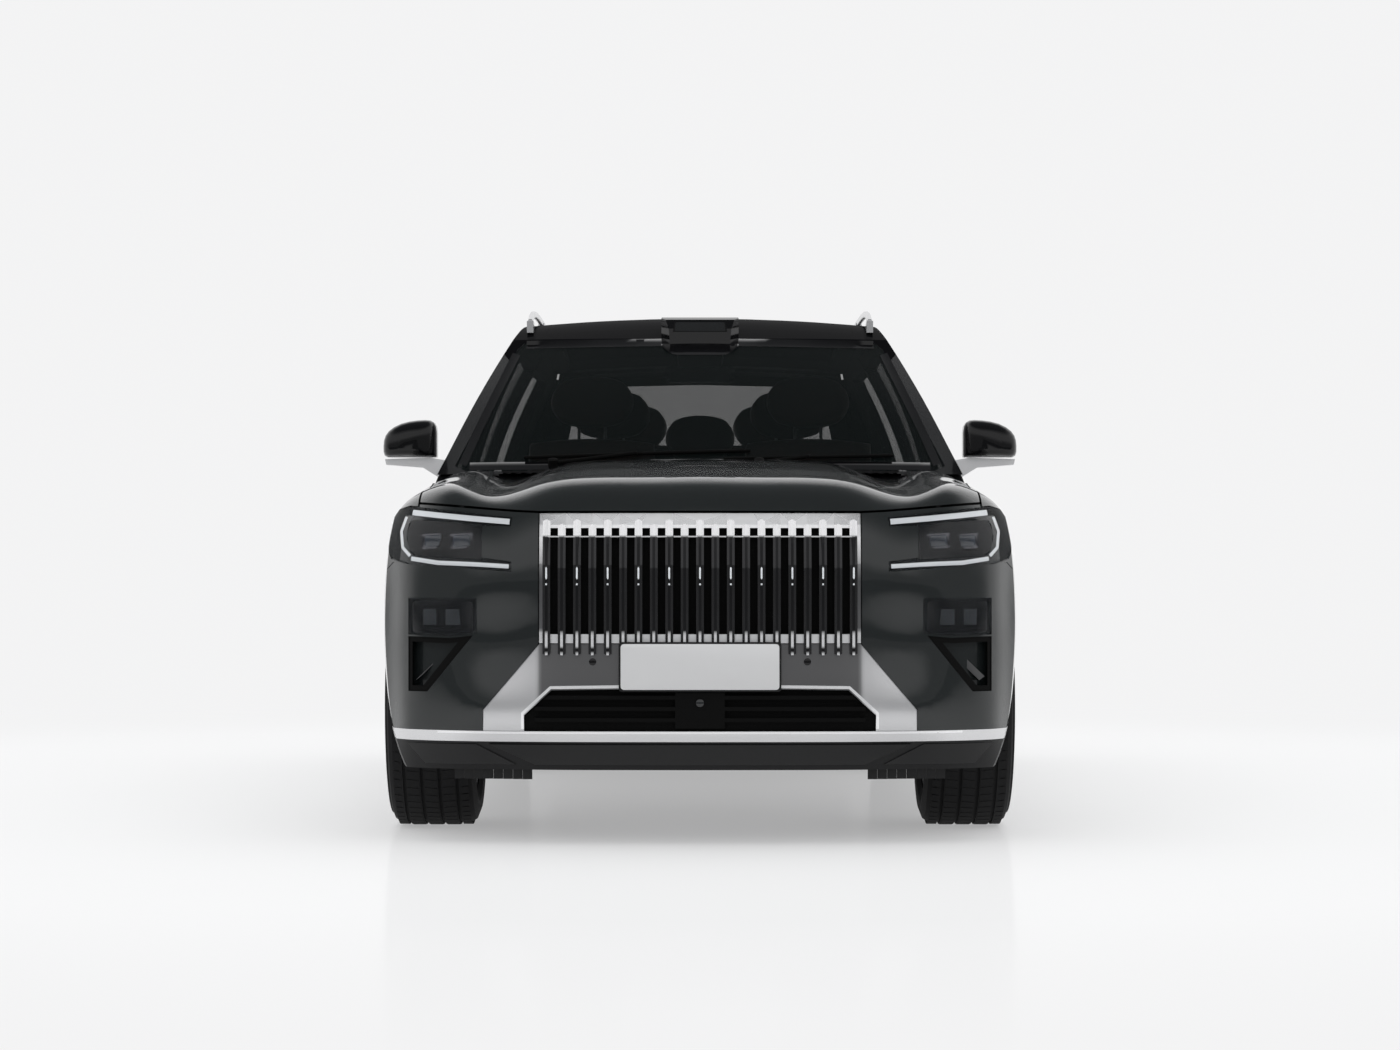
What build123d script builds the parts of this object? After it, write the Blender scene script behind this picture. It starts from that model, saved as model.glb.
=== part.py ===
"""A large four-door crossover with hinged panels, steered wheels and a furnished cabin.

Millimetres. +Z is up, the nose points along -Y and +X is the car's left side.
The origin lies on the ground under the middle of the car.
"""
import math
import os
from build123d import *
from numpy import interp
from scipy.interpolate import CubicSpline

# --- overall size ---
LENGTH = 5240.0
HALF_WIDTH = 1014.0
FRONT_OVERHANG = 924.0   # from the panels; the grille bars stand further out
WHEELBASE = 3169.0
BARS_PROUD = 6.0       # grille bars ahead of the panels
NOSE = -LENGTH / 2 + BARS_PROUD
TAIL = LENGTH / 2
FRONT_AXLE = NOSE + FRONT_OVERHANG
REAR_AXLE = FRONT_AXLE + WHEELBASE

# --- shell ---
BASE = 225.0           # underside of the sills
BELT = 1128.0          # crease below the side glass
BELT_INSET = 86.0      # belt crease inboard of the widest point
BELT_LEDGE = 8.0       # side glass plane inboard of the belt crease
SKIN = 5.0             # outer panels
SEAT = 0.6             # fixed panels stand this far off what carries them
DOOR_LAP = 12.0        # structure starts this deep under the door skins
DOOR_DEPTH = 88.0      # whole thickness of a door below the belt
FRAME_DEPTH = 46.0     # thickness of a window frame
GAP = 7.0              # shut line between moving panels
INNER_GAP = 18.0       # room for the inner edge of a door to swing out
SILL_TOP = 298.0
DOOR_BASE = SILL_TOP + GAP
FIREWALL = -1210.0
FLOOR_UNDER = 300.0
FLOOR_TOP = 400.0

# --- master curves: (station, value) ---
PLAN = [(NOSE - 150, 888), (-2400, 962), (-2080, 999), (FRONT_AXLE, HALF_WIDTH), (-1000, 1005), (-200, 1000),
        (700, 1003), (REAR_AXLE, HALF_WIDTH), (2020, 1000), (2350, 968), (TAIL + 150, 905)]
SIDE_DROP = [(150, 92), (225, 62), (340, 26), (480, 8), (640, 0), (800, 4), (930, 18), (1040, 46),
             (BELT, BELT_INSET), (1250, 190), (1400, 330)]
NOSE_BOW = [(0, 0), (300, 6), (486, 18), (600, 36), (700, 64), (800, 110), (870, 160), (930, 225), (990, 320),
            (1050, 450), (1120, 640)]
BONNET = [(-2560, 1070), (-2440, 1108), (-2200, 1142), (-1900, 1168), (-1550, 1192), (-1270, 1207), (-950, 1213)]
BONNET_SHAPE = [(0, 0), (250, -4), (430, -14), (520, -38), (600, -66), (680, -60), (760, -46), (830, -52),
                (890, -82), (950, -140), (1010, -225), (1120, -420)]
SCREEN_BASE = (-1275.0, 1195.0)
SCREEN_TOP = (-430.0, 1668.0)
SCREEN_BOW = 165.0
ROOF = [(-900, 1500), (-430, 1668), (-250, 1722), (0, 1765), (300, 1787), (700, 1795), (1200, 1791), (1700, 1774),
        (2150, 1742), (2700, 1690)]
ROOF_CROWN = 26.0
TAIL_FACE = [(150, 2505), (260, 2575), (400, 2612), (600, 2620), (850, 2606), (BELT, 2566), (1300, 2520),
             (1500, 2455), (1700, 2380), (1900, 2300)]
TAIL_BOW = [(0, 0), (300, 8), (550, 28), (750, 66), (850, 104), (920, 160), (980, 250), (1030, 380), (1120, 620)]
ROOF_HALF = [(-1500, 560), (-430, 648), (300, 672), (1200, 672), (2000, 652), (2700, 620)]

# --- hinges ---
HINGE_DEPTH = 25.0     # door pins inboard of the widest skin
HINGE_LEAD = 71.0      # door pins ahead of the shut line
SHUT_RADIUS = 69.5     # fixed skin ends on this radius round the pin
SWING_RADIUS = SHUT_RADIUS + 6.5
FRONT_DOOR_EDGE = -1059.0
REAR_DOOR_EDGE = 71.0
REAR_DOOR_END = 1185.0
PIN_RADIUS = 4.0
KNUCKLE_RADIUS = 7.0
HINGE_HEIGHTS = (490.0, 790.0)
LEAF_HEIGHT = 44.0
LEAF = 8.0
NECK = 63.0            # gooseneck passes this far inboard of the pin

# --- wheels ---
WHEEL_RADIUS = 393.0
TYRE_WIDTH = 285.0
WHEEL_X = 857.5
RIM_RADIUS = 279.0
ARCH_RADIUS = 450.0
WELL_RADIUS = 530.0
LIP_X = 945.0
KINGPIN_X = 760.0


def curve(table):
    """Natural cubic through (station, value) pairs."""
    stations, values = zip(*table)
    return CubicSpline(stations, values, bc_type="natural")


plan_width = curve(PLAN)
side_drop = curve(SIDE_DROP)
nose_bow = curve(NOSE_BOW)
bonnet_line = curve(BONNET)
bonnet_shape = curve(BONNET_SHAPE)
roof_line = curve(ROOF)
tail_face = curve(TAIL_FACE)
tail_bow = curve(TAIL_BOW)
roof_half = curve(ROOF_HALF)


def steps(low, high, count):
    return [low + (high - low) * i / (count - 1) for i in range(count)]


def surface(rows):
    """Smooth face through a grid of points."""
    grid = [[Vector(*point) for point in row] for row in rows]
    return Face.make_surface_from_array_of_points(grid, tol=0.05, min_deg=3, max_deg=3)


def swept(face, direction):
    return Solid.extrude(face, Vector(*direction))


# --- master surfaces ---
def lower_wall(y, z, inset):
    return plan_width(y) - side_drop(z) - inset


def upper_wall(y, z, inset):
    """Side glass plane, leaning in to the roof with a slight barrel."""
    share = (z - BELT) / (1720 - BELT)
    belt = plan_width(y) - BELT_INSET - BELT_LEDGE
    barrel = 26 * math.sin(math.pi * min(max(share, 0), 1))
    return belt + (roof_half(y) - belt) * share + barrel - inset


def between(wall, ys, zs, inset):
    """Everything between the left wall and its mirror image."""
    left = surface([[(wall(y, z, inset), y, z) for z in zs] for y in ys])
    solid = swept(left, (-2400, 0, 0))
    return solid & solid.mirror(Plane.YZ)


def nose_profile(x, inset):
    """Points of one fore-and-aft section, up the nose and back along the bonnet."""
    half = abs(x)
    nose = NOSE + float(nose_bow(half))
    droop = float(bonnet_shape(half)) * 0.9

    def lifted(z):
        return 520 + (z - 520) * (1 + droop / 550)

    face = [(nose + 46, 150), (nose + 26, 240), (nose + 8, 360), (nose, 520), (nose + 1, 760),
            (nose + 8, lifted(930)), (nose + 20, lifted(1010)), (nose + 46, lifted(1062))]
    top = [(y, float(bonnet_line(y) + bonnet_shape(half))) for y in steps(nose + 130, -950, 8)]
    points = face + top
    chord = [0.0]
    for here, after in zip(points, points[1:]):
        chord.append(chord[-1] + math.dist(here, after))
    along = CubicSpline(chord, [p[0] for p in points])
    up = CubicSpline(chord, [p[1] for p in points])
    move = inset * 0.72
    return [(x, float(along(s)) + move, float(up(s)) - move) for s in steps(0, chord[-1], 14)]


def front_clip(inset=0.0, bottom=BASE):
    """Nose, wings and bonnet as one block, shrunk by inset."""
    sides = between(lower_wall, steps(-2760, -980, 12), steps(150, 1330, 14), inset)
    cover = swept(surface([nose_profile(x, inset) for x in steps(-1110, 1110, 23)]), (0, 2600, -2600))
    return sides & cover & block(-1200, 1200, -2700, FRONT_DOOR_EDGE, bottom, 1400)


def tail_solid(inset):
    rows = [[(x, float(tail_face(z) - tail_bow(abs(x))) - inset, z) for z in steps(150, 1900, 16)]
            for x in steps(-1110, 1110, 31)]
    return swept(surface(rows), (0, -6000, 0))


def lower_tub(inset=0.0, bottom=BASE):
    """Body behind the front wings, up to the belt."""
    sides = between(lower_wall, steps(-1300, 2760, 17), steps(150, 1200, 12), inset)
    return sides & tail_solid(inset) & block(-1200, 1200, FRONT_DOOR_EDGE - 1, 2800, bottom, BELT)


def screen_y(x, z):
    rise = (z - SCREEN_BASE[1]) / (SCREEN_TOP[1] - SCREEN_BASE[1])
    slope = (SCREEN_TOP[0] - SCREEN_BASE[0]) * rise
    bow = SCREEN_BOW * (x / 780) ** 2 * (1 - 0.15 * rise)
    return SCREEN_BASE[0] + slope + bow - 20 * math.sin(math.pi * min(max(rise, 0), 1))


def roof_z(x, y):
    return float(roof_line(y)) - ROOF_CROWN * (x / 600) ** 2


def glasshouse(inset=0.0):
    """Screen, roof and side glass as one block, shrunk by inset."""
    sides = between(upper_wall, steps(-1500, 2760, 14), steps(BELT, 1900, 10), inset)
    screen = swept(surface([[(x, screen_y(x, z) + inset * 1.9, z) for z in steps(1060, 1900, 9)]
                            for x in steps(-1100, 1100, 17)]), (0, 5000, 0))
    roof = swept(surface([[(x, y, roof_z(x, y) - inset) for y in steps(-1400, 2760, 18)]
                          for x in steps(-1100, 1100, 13)]), (0, 0, -1500))
    return sides & screen & roof & tail_solid(inset) & block(-1200, 1200, -2000, 3000, BELT, 2000)


# --- cutters ---
def prism(points, direction, grow=0.0, radius=0.0):
    """Solid swept from a flat outline, which can be rounded and moved out by grow."""
    face = Face(Wire.make_polygon([Vector(*point) for point in points]))
    if radius:
        face = face.fillet_2d(radius, face.vertices())
    if grow:
        face = offset(face, amount=grow, kind=Kind.INTERSECTION).face()
    return swept(face, direction)


def side_prism(points, low=300.0, high=1300.0, grow=0.0, radius=0.0):
    """Solid over a (y, z) outline, from x = low to x = high."""
    return prism([(low, y, z) for y, z in points], (high - low, 0, 0), grow, radius)


def front_prism(points, low=-2800.0, high=-2200.0, grow=0.0, radius=0.0):
    """Solid over an (x, z) outline, from y = low to y = high."""
    return prism([(x, low, z) for x, z in points], (0, high - low, 0), grow, radius)


def plan_prism(points, low=0.0, high=2000.0, grow=0.0, radius=0.0):
    """Solid over an (x, y) outline, from z = low to z = high."""
    return prism([(x, y, low) for x, y in points], (0, 0, high - low), grow, radius)


def block(x0, x1, y0, y1, z0, z1):
    """Box between two corners."""
    return Pos((x0 + x1) / 2, (y0 + y1) / 2, (z0 + z1) / 2) * Box(abs(x1 - x0), abs(y1 - y0), abs(z1 - z0))


def upright(x, y, radius, z0, z1):
    """Cylinder along Z."""
    return Pos(x, y, (z0 + z1) / 2) * Cylinder(radius, z1 - z0)


def across(y, z, radius, x0, x1):
    """Cylinder along X."""
    return Pos((x0 + x1) / 2, y, z) * Rot(0, 90, 0) * Cylinder(radius, abs(x1 - x0))


def mirror_pair(shape):
    """A left-hand shape and its mirror image, as separate solids."""
    return Compound(list(shape.solids()) + list(shape.mirror(Plane.YZ).solids()))


def cut_pair(shape):
    """A cutter and its mirror image, fused."""
    return shape + shape.mirror(Plane.YZ)


def whole(half):
    """Close an (x, z) outline from its left half, listed from the centre line outwards."""
    return half + [(-x, z) for x, z in reversed(half) if x]


def solids_of(shape, smallest=4000.0):
    """The pieces of a shape, without the crumbs that a cut can leave."""
    kept = [solid for solid in shape.solids() if solid.volume > smallest]
    return kept[0] if len(kept) == 1 else Compound(kept)


# --- shut lines round the door pins ---
def pin_place(edge):
    """(x, y) of the pin that serves the door whose front edge lies at y = edge."""
    y = edge - HINGE_LEAD
    return float(plan_width(y)) - HINGE_DEPTH, y


def ahead_of(edge):
    """Room for the skin that ends ahead of a door edge, on an arc round its pin."""
    x, y = pin_place(edge)
    forward = block(300, 1300, y - 3000, y, 0, 1400)
    inboard = block(300, x - 29, y - 10, y + 63, 0, 1400)
    return upright(x, y, SHUT_RADIUS, 0, 1400) + forward + inboard


def swing_room(edge):
    """Clear cylinder round a pin, which the door skin stays out of."""
    x, y = pin_place(edge)
    return upright(x, y, SWING_RADIUS, 0, 1400)


# --- side outlines, (y, z) ---
ARCH_CLEAR = 500.0     # rear door edge round the rear wheel
DOOR_TOP = [(-1050, 1150), (-330, 1566), (-180, 1638), (0, 1668), (300, 1684), (700, 1690), (1110, 1684)]
FRONT_REAR = REAR_DOOR_EDGE - 6.5
LAP_BASE = 400.0       # underside of the doors' inner part
FRONT_INNER = (FRONT_DOOR_EDGE + 9, -91.0)
REAR_INNER = (REAR_DOOR_EDGE + 9, REAR_DOOR_END - 22)
PILLAR_LEAD = 13.0     # pillar ends this far ahead of the pin
GLASS_BASE = 1152.0
GLASS_DROP = 42.0
HEAD_GAP = 7.0


def rear_arch(z, radius):
    """y of the rear door's edge where it follows the wheel."""
    return REAR_AXLE - math.sqrt(radius ** 2 - (z - WHEEL_RADIUS) ** 2)


def door_outline(front, rear, base, follow=None):
    """Door below the belt; follow is the radius it keeps round the rear axle."""
    if follow is None:
        return [(front, base), (rear, base), (rear, BELT), (front, BELT)]
    edge = [(rear_arch(z, follow), z) for z in steps(base, 780, 7)]
    return [(front, base)] + edge + [(rear, 850), (rear, BELT), (front, BELT)]


def top_at(y, drop):
    """Height of the door's top line."""
    for (y0, z0), (y1, z1) in zip(DOOR_TOP, DOOR_TOP[1:]):
        if y0 <= y <= y1:
            return z0 + (z1 - z0) * (y - y0) / (y1 - y0) - drop
    return (DOOR_TOP[0][1] if y < DOOR_TOP[0][0] else DOOR_TOP[-1][1]) - drop


def frame_outline(front, rear, drop=0.0, base=BELT):
    """Window frame between two upright lines, its head drop below the door's top line."""
    head = [(y, z - drop) for y, z in DOOR_TOP if front < y < rear and z - drop > base + 4]
    start = [] if top_at(front, drop) <= base else [(front, top_at(front, drop))]
    return [(front, base), (rear, base), (rear, top_at(rear, drop))] + head[::-1] + start


# --- front outlines, (x, z), half from the centre line outwards ---
BONNET_SIDE = 862.0
BONNET_REAR = -1330.0
GRILLE_HALF = 486.0
GRILLE_TOP = 1003.0
GRILLE_BASE = 610.0
BAR_COUNT = 21
BAR_PITCH = 46.4
BAR_STEPS = [(23.0, 0.5, 4.0), (15.0, 3.2, 2.0), (8.0, BARS_PROUD, 0.0)]   # width, ahead of the panels, shorter by
BAR_CLEAR = 0.5        # feet of the bars end this far ahead of the panel behind them
BAR_SLANT = 1.3        # and this much further where the nose slants away
BAR_DEPTH = 16.0
FRAME_SETBACK = 8.0
TOP_LINE = (930.0, 934.0)
NOTCH = 764.0          # height of the notch in the long bars
BAR_BASE = 574.0
BAR_TOPS = (984.0, 970.0)
INTAKE = [(0, 474), (448, 468), (532, 392), (532, 344)]
SURROUND = [(0, 607), (486, 607), (657, 407), (657, 344)]
HEADLAMP = [(571, 826), (905, 850), (955, 868), (985, 940), (960, 1012), (895, 1027), (571, 990), (575, 964), (662, 966),
            (662, 868), (571, 856)]
CORNER_LAMP = [(677, 640), (760, 630), (893, 634), (893, 745), (677, 745)]
CORNER_INTAKE = [(832, 461), (893, 461), (893, 628), (760, 624), (690, 632)]
BLADE = (311.0, 343.5)
NOSE_FOOT = [(0, 200), (905, 200), (925, 232), (990, 286), (1040, 286), (1040, 500), (0, 500)]
BLADE_END = -2170.0
BUMPER_SPLIT = [(-2700, 200), (-2115, 200), (-2115, 560), (-2040, 690), (-2330, 852), (-2700, 852)]
LINE = 3.0             # shut line between fixed panels


def across_side(points, grow=0.0):
    """Solid over a (y, z) outline through the whole car."""
    return side_prism(points, -1200, 1200, grow)


def arch_cutters():
    """Openings over all four wheels."""
    fronts = across(FRONT_AXLE, WHEEL_RADIUS, ARCH_RADIUS, LIP_X, 1100)
    fronts += block(LIP_X, 1100, FRONT_AXLE - ARCH_RADIUS, FRONT_AXLE + ARCH_RADIUS, 0, WHEEL_RADIUS)
    fronts += across(FRONT_AXLE, WHEEL_RADIUS, WELL_RADIUS, 460, LIP_X)
    fronts += block(460, LIP_X, FRONT_AXLE - WELL_RADIUS, FRONT_AXLE + WELL_RADIUS, 0, WHEEL_RADIUS)
    rears = across(REAR_AXLE, WHEEL_RADIUS, ARCH_RADIUS, 690, 1100)
    rears += block(690, 1100, REAR_AXLE - ARCH_RADIUS, REAR_AXLE + ARCH_RADIUS, 0, WHEEL_RADIUS)
    return cut_pair(fronts) + cut_pair(rears)


# --- the whole form and its layers ---
class Masters:
    """The outer form and its inner offsets, built once."""

    def __init__(self):
        self.clip = {inset: front_clip(inset) for inset in (0, SKIN, SKIN + SEAT, 34)}
        self.tub = {inset: lower_tub(inset) for inset in (0, SKIN, DOOR_LAP, DOOR_LAP + SEAT, DOOR_DEPTH)}
        self.house = {inset: glasshouse(inset) for inset in (0, SKIN, DOOR_LAP, FRAME_DEPTH)}
        self.arches = arch_cutters()


def layer(masters, outer, inner, room):
    """What lies in a room between two depths of one master form."""
    return (masters[outer] & room) - masters[inner]


# --- bonnet ---
BONNET_AXIS = (BONNET_REAR + 68, 1150.0)
BONNET_HINGE_X = 700.0


def bonnet_room(grow=0.0):
    half = [(0, 1010 - grow), (486, 1010 - grow), (560, 1014 - grow), (BONNET_SIDE + grow, 1040 - grow),
            (BONNET_SIDE + grow, 1400)]
    return front_prism(whole(half), -2800, BONNET_REAR + grow)


def hinge_eye(y, z, x):
    """Ring of a hinge along X."""
    return across(y, z, KNUCKLE_RADIUS, x - 5, x + 5)


def bonnet(m):
    skin = layer(m.clip, 0, SKIN, bonnet_room())
    lining_room = front_prism([(-815, 1050), (815, 1050), (815, 1400), (-815, 1400)], -2540, BONNET_REAR - 10)
    lining = layer(m.clip, SKIN, 34, lining_room)
    hollow = plan_prism([(620, -1450), (30, -1450), (30, -2400), (560, -2360)], 900, 1300, radius=60)
    shape = skin + (lining - cut_pair(hollow))
    y, z = BONNET_AXIS
    for x in (-BONNET_HINGE_X, BONNET_HINGE_X):
        arm = side_prism([(y, z - 7), (y - 150, z - 14), (y - 150, z + 12), (y - 90, z + 10), (y, z + 7)], x - 5, x + 5)
        shape = shape + arm + hinge_eye(y, z, x) - across(y, z, PIN_RADIUS + 0.05, x - 9, x + 9)
    return solids_of(shape)


# --- front panels ---
def front_fenders(m):
    room = block(300, 1200, -2700, FRONT_DOOR_EDGE + 20, DOOR_BASE, 1400)
    room = room - bonnet_room(GAP) - across_side(BUMPER_SPLIT, LINE)
    skin = (layer(m.clip, 0, SKIN, room) - m.arches) & ahead_of(FRONT_DOOR_EDGE)
    skin = skin - front_prism(HEADLAMP, grow=LINE) - block(0, BONNET_SIDE + GAP, -2700, -2330, 0, 1400)
    skin = skin - block(0, BONNET_SIDE + GAP, BONNET_REAR - 20, -1000, 0, 1400) - m.house[0]
    return mirror_pair(solids_of(skin))


def bumper_room():
    nose = block(-BONNET_SIDE, BONNET_SIDE, -2800, -2330, 800, 1060)
    return (across_side(BUMPER_SPLIT) + nose) & block(-1200, 1200, -2800, -1900, BLADE[1] + 0.5, 1400)


def front_bumper(m):
    skin = layer(m.clip, 0, SKIN, bumper_room() - bonnet_room(GAP)) - m.arches
    skin = skin - front_prism([(-489, 606), (489, 606), (489, 1006), (-489, 1006)])
    skin = skin - front_prism(whole(SURROUND[:3] + [(657, 300)]), grow=0.5)
    for outline in (HEADLAMP, CORNER_LAMP, CORNER_INTAKE):
        skin = skin - cut_pair(front_prism(outline, grow=0.5))
    return solids_of(skin)


def lower_cladding(m):
    """Black lower nose, sill covers and the wheel arch edges."""
    nose = layer(m.clip, 0, SKIN, block(-1200, 1200, -2800, FRONT_AXLE, BASE, BLADE[0] - 0.5))
    nose = (nose - m.arches) & front_prism(whole(NOSE_FOOT))
    sides = across_side(door_outline(FRONT_DOOR_EDGE + 0.5, REAR_DOOR_END, BASE, ARCH_CLEAR - GAP + 0.5))
    sill = layer(m.tub, 0, DOOR_LAP, sides & block(-1200, 1200, -1200, 1200, BASE, SILL_TOP))
    wing = layer(m.clip, 0, SKIN, block(-1200, 1200, FRONT_AXLE, FRONT_DOOR_EDGE, BASE, SILL_TOP))
    return solids_of(Compound(list((nose - m.arches).solids()) + list((wing - m.arches).solids())
                              + list((sill - m.arches).solids())))


def bright_trim(m):
    """Chrome blade under the nose and the roof rails."""
    blade = layer(m.clip, 0, SKIN, block(-1200, 1200, -2800, BLADE_END, *BLADE)) - m.arches
    return Compound(list(blade.solids()) + list(roof_rails(m).solids()))


RAIL_LIFT = 43.0       # middle of the rail above the roof


def rail_x(y):
    return 632 - 0.00001 * (y - 700) ** 2


def roof_rails(m):
    path = Spline(*[Vector(rail_x(y), y, roof_z(632, y) + RAIL_LIFT) for y in steps(-250, 2050, 9)])
    rail = sweep(Plane(path @ 0, z_dir=path % 0) * RectangleRounded(26, 18, 7), path)
    for y in (-226, 880, 2026):
        foot = Pos(rail_x(y), y, roof_z(632, y) + RAIL_LIFT / 2) * Box(24, 70, RAIL_LIFT)
        rail = rail + (foot - m.house[0])
    return mirror_pair(solids_of(rail))


def grille_surround(m):
    face = layer(m.clip, SKIN, 34, front_prism(whole(SURROUND)))
    face = face - front_prism(whole(INTAKE[:3] + [(532, 300)]))
    return solids_of(face)


def face_line(x, inset):
    """y of the nose face at a height z, in one fore-and-aft section."""
    points = nose_profile(x, inset)
    chord = [0.0]
    for here, after in zip(points, points[1:]):
        chord.append(chord[-1] + math.dist(here, after))
    low = steps(0, chord[-1] * 0.4, 90)
    heights = CubicSpline(chord, [point[2] for point in points])(low)
    depths = CubicSpline(chord, [point[1] for point in points])(low)
    return lambda z: float(interp(z, heights, depths))


def grille_frame(m):
    """Bright frame, set back so that the bars stand ahead of it, with a thin line near its top."""
    stations = steps(-GRILLE_HALF, GRILLE_HALF, 13)
    lines = [face_line(x, 0.0) for x in stations]
    rings = []
    for z in (GRILLE_BASE, 720, 850, 930, 968, GRILLE_TOP):
        front = [(x, line(z) + FRAME_SETBACK, z) for x, line in zip(stations, lines)]
        back = [(x, y + 45, z) for x, y, z in reversed(front)]
        rings.append(Wire.make_polygon([Vector(*point) for point in front + back]))
    band = Solid.make_loft(rings, ruled=True)
    opening = front_prism([(-472, 637), (472, 637), (472, 958), (-472, 958)])
    ahead = [(x, NOSE + float(nose_bow(abs(x))) + 12) for x in steps(-474, 474, 13)]
    line = plan_prism(ahead + [(x, y + 10) for x, y in reversed(ahead)], *TOP_LINE)
    return ((band - opening) + line) - m.clip[34]


def bar_outline(x, base, top):
    """Side outline of a bar: over the panel below the frame, and deeper above it."""
    face, surround = face_line(x, 0.0), face_line(x, SKIN)
    split = GRILLE_BASE - 1
    outline = [(face(z) - BAR_STEPS[0][1], z) for z in steps(base, top, 4)]
    outline += [(face(z) + BAR_DEPTH, z) for z in (top, (top + split) / 2, split)]
    clear = BAR_CLEAR + BAR_SLANT * (x / GRILLE_HALF) ** 2
    return outline + [(surround(z) - clear, z) for z in (split, base)]


def ridge_outline(x, proud, base, top):
    """Side outline of a narrower step that stands on the front of a bar."""
    face = face_line(x, 0.0)
    heights = steps(base, top, 4)
    return [(face(z) - proud, z) for z in heights] + [(face(z) + 0.4, z) for z in reversed(heights)]


def grille_bars(m):
    """Bright frame with upright bars, each stepped up to a narrow ridge, long and short in turn."""
    pieces = []
    for index in range(BAR_COUNT):
        x = (index - (BAR_COUNT - 1) / 2) * BAR_PITCH
        top = BAR_TOPS[index % 2]
        width, _, inset = BAR_STEPS[0]
        pieces.append(side_prism(bar_outline(x, BAR_BASE + inset, top - inset), x - width / 2, x + width / 2))
        for width, proud, inset in BAR_STEPS[1:]:
            spans = [(BAR_BASE + inset, top - inset)]
            if index % 2 == 0 and proud == BARS_PROUD:
                spans = [(BAR_BASE + inset, NOTCH - 3), (NOTCH + 3, top - inset)]
            for low, high in spans:
                pieces.append(side_prism(ridge_outline(x, proud, low, high), x - width / 2, x + width / 2))
    return solids_of(grille_frame(m).fuse(*pieces), 50)


def backing(m, room, thick=10.0):
    """Plate that closes an opening of the nose from behind."""
    form = m.clip[34] & room
    return form - form.moved(Location((0, thick, 0)))


def intake_grille(m):
    """Black mesh plate behind the bars and the louvres of the lower intakes."""
    back = backing(m, block(-GRILLE_HALF, GRILLE_HALF, -2800, -2350, 612, 1001))
    panel = backing(m, front_prism(whole(INTAKE)))
    slats = None
    for z in (372, 406, 440):
        slat = block(-500, 500, -2700, -2540, z, z + 12) & m.clip[SKIN] & front_prism(whole(INTAKE), grow=-4)
        slats = slat if slats is None else slats + slat
    pod = block(-75, 75, -2700, -2560, 352, 462) & m.clip[SKIN]
    behind = m.clip[34].moved(Location((0, 5, 0)))
    slats = slats - behind
    pod = pod - behind
    corner = layer(m.clip, SKIN, 34, cut_pair(front_prism(CORNER_INTAKE, grow=-0.5)))
    corner = corner - cut_pair(front_prism([(845, 478), (880, 478), (880, 612), (770, 608), (735, 612)], high=-2200))
    return solids_of(Compound(list(back.solids()) + list((panel + slats + pod).solids()) + list(corner.solids())))


def front_lamps(m):
    lamps = layer(m.clip, 0, 34, cut_pair(front_prism(HEADLAMP)) + cut_pair(front_prism(CORNER_LAMP)))
    return solids_of(lamps - bonnet_room(GAP))


# --- doors ---
def door_hinge_leaf(x, y, reach):
    """Gooseneck from the pin inboard and back to the door, in plan, round the fixed skin's edge."""
    near, far = x - NECK, x - NECK - LEAF
    return [(x + 4, y - 4), (x + 4, y + 4), (near, y + 4), (near, y + reach), (far, y + reach), (far, y - 4)]


def door(m, edge, rear, inner, follow=None):
    """One left door: skin, inner part, window frame and hinge arms."""
    x, y = pin_place(edge)
    skin_room = side_prism(door_outline(edge - 1, rear + (40 if follow is None else 0), DOOR_BASE, follow and follow))
    skin = layer(m.tub, 0, SKIN, skin_room) - swing_room(edge)
    if follow is None:
        skin = skin & ahead_of(REAR_DOOR_EDGE)
    deep = layer(m.tub, SKIN, DOOR_DEPTH, side_prism(door_outline(inner[0], inner[1], LAP_BASE, follow and follow + 22)))
    pocket = block(x - 48, x - 24, inner[0] + 90, inner[1] - 120, LAP_BASE + 60, BELT - 60)
    frame = layer(m.house, 0, FRAME_DEPTH, side_prism(frame_outline(inner[0], inner[1])))
    lap = layer(m.house, 0, SKIN, side_prism(frame_outline(edge, rear)))
    window = side_prism(frame_outline(max(inner[0], edge) + 34, min(rear, inner[1]) - 30, GLASS_DROP, GLASS_BASE), radius=12)
    body = skin + (deep - pocket) + (frame + lap - window)
    for z in HINGE_HEIGHTS:
        low = z + 1
        arm = plan_prism(door_hinge_leaf(x, y, inner[0] - y + 3), low, low + LEAF_HEIGHT / 2 - 1)
        eye = upright(x, y, KNUCKLE_RADIUS, low, low + LEAF_HEIGHT / 2 - 1)
        body = body + arm + eye - upright(x, y, PIN_RADIUS + 0.05, low - 9, low + 40)
    return solids_of(body)


def door_glass(m, edge, rear, inner):
    room = side_prism(frame_outline(max(inner[0], edge) + 34, min(rear, inner[1]) - 30, GLASS_DROP, GLASS_BASE), grow=-0.4,
                      radius=12)
    return solids_of(layer(m.house, 0, SKIN, room))


FRONT_DOOR = (FRONT_DOOR_EDGE, FRONT_REAR, FRONT_INNER)
REAR_DOOR = (REAR_DOOR_EDGE, REAR_DOOR_END, REAR_INNER)


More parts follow.
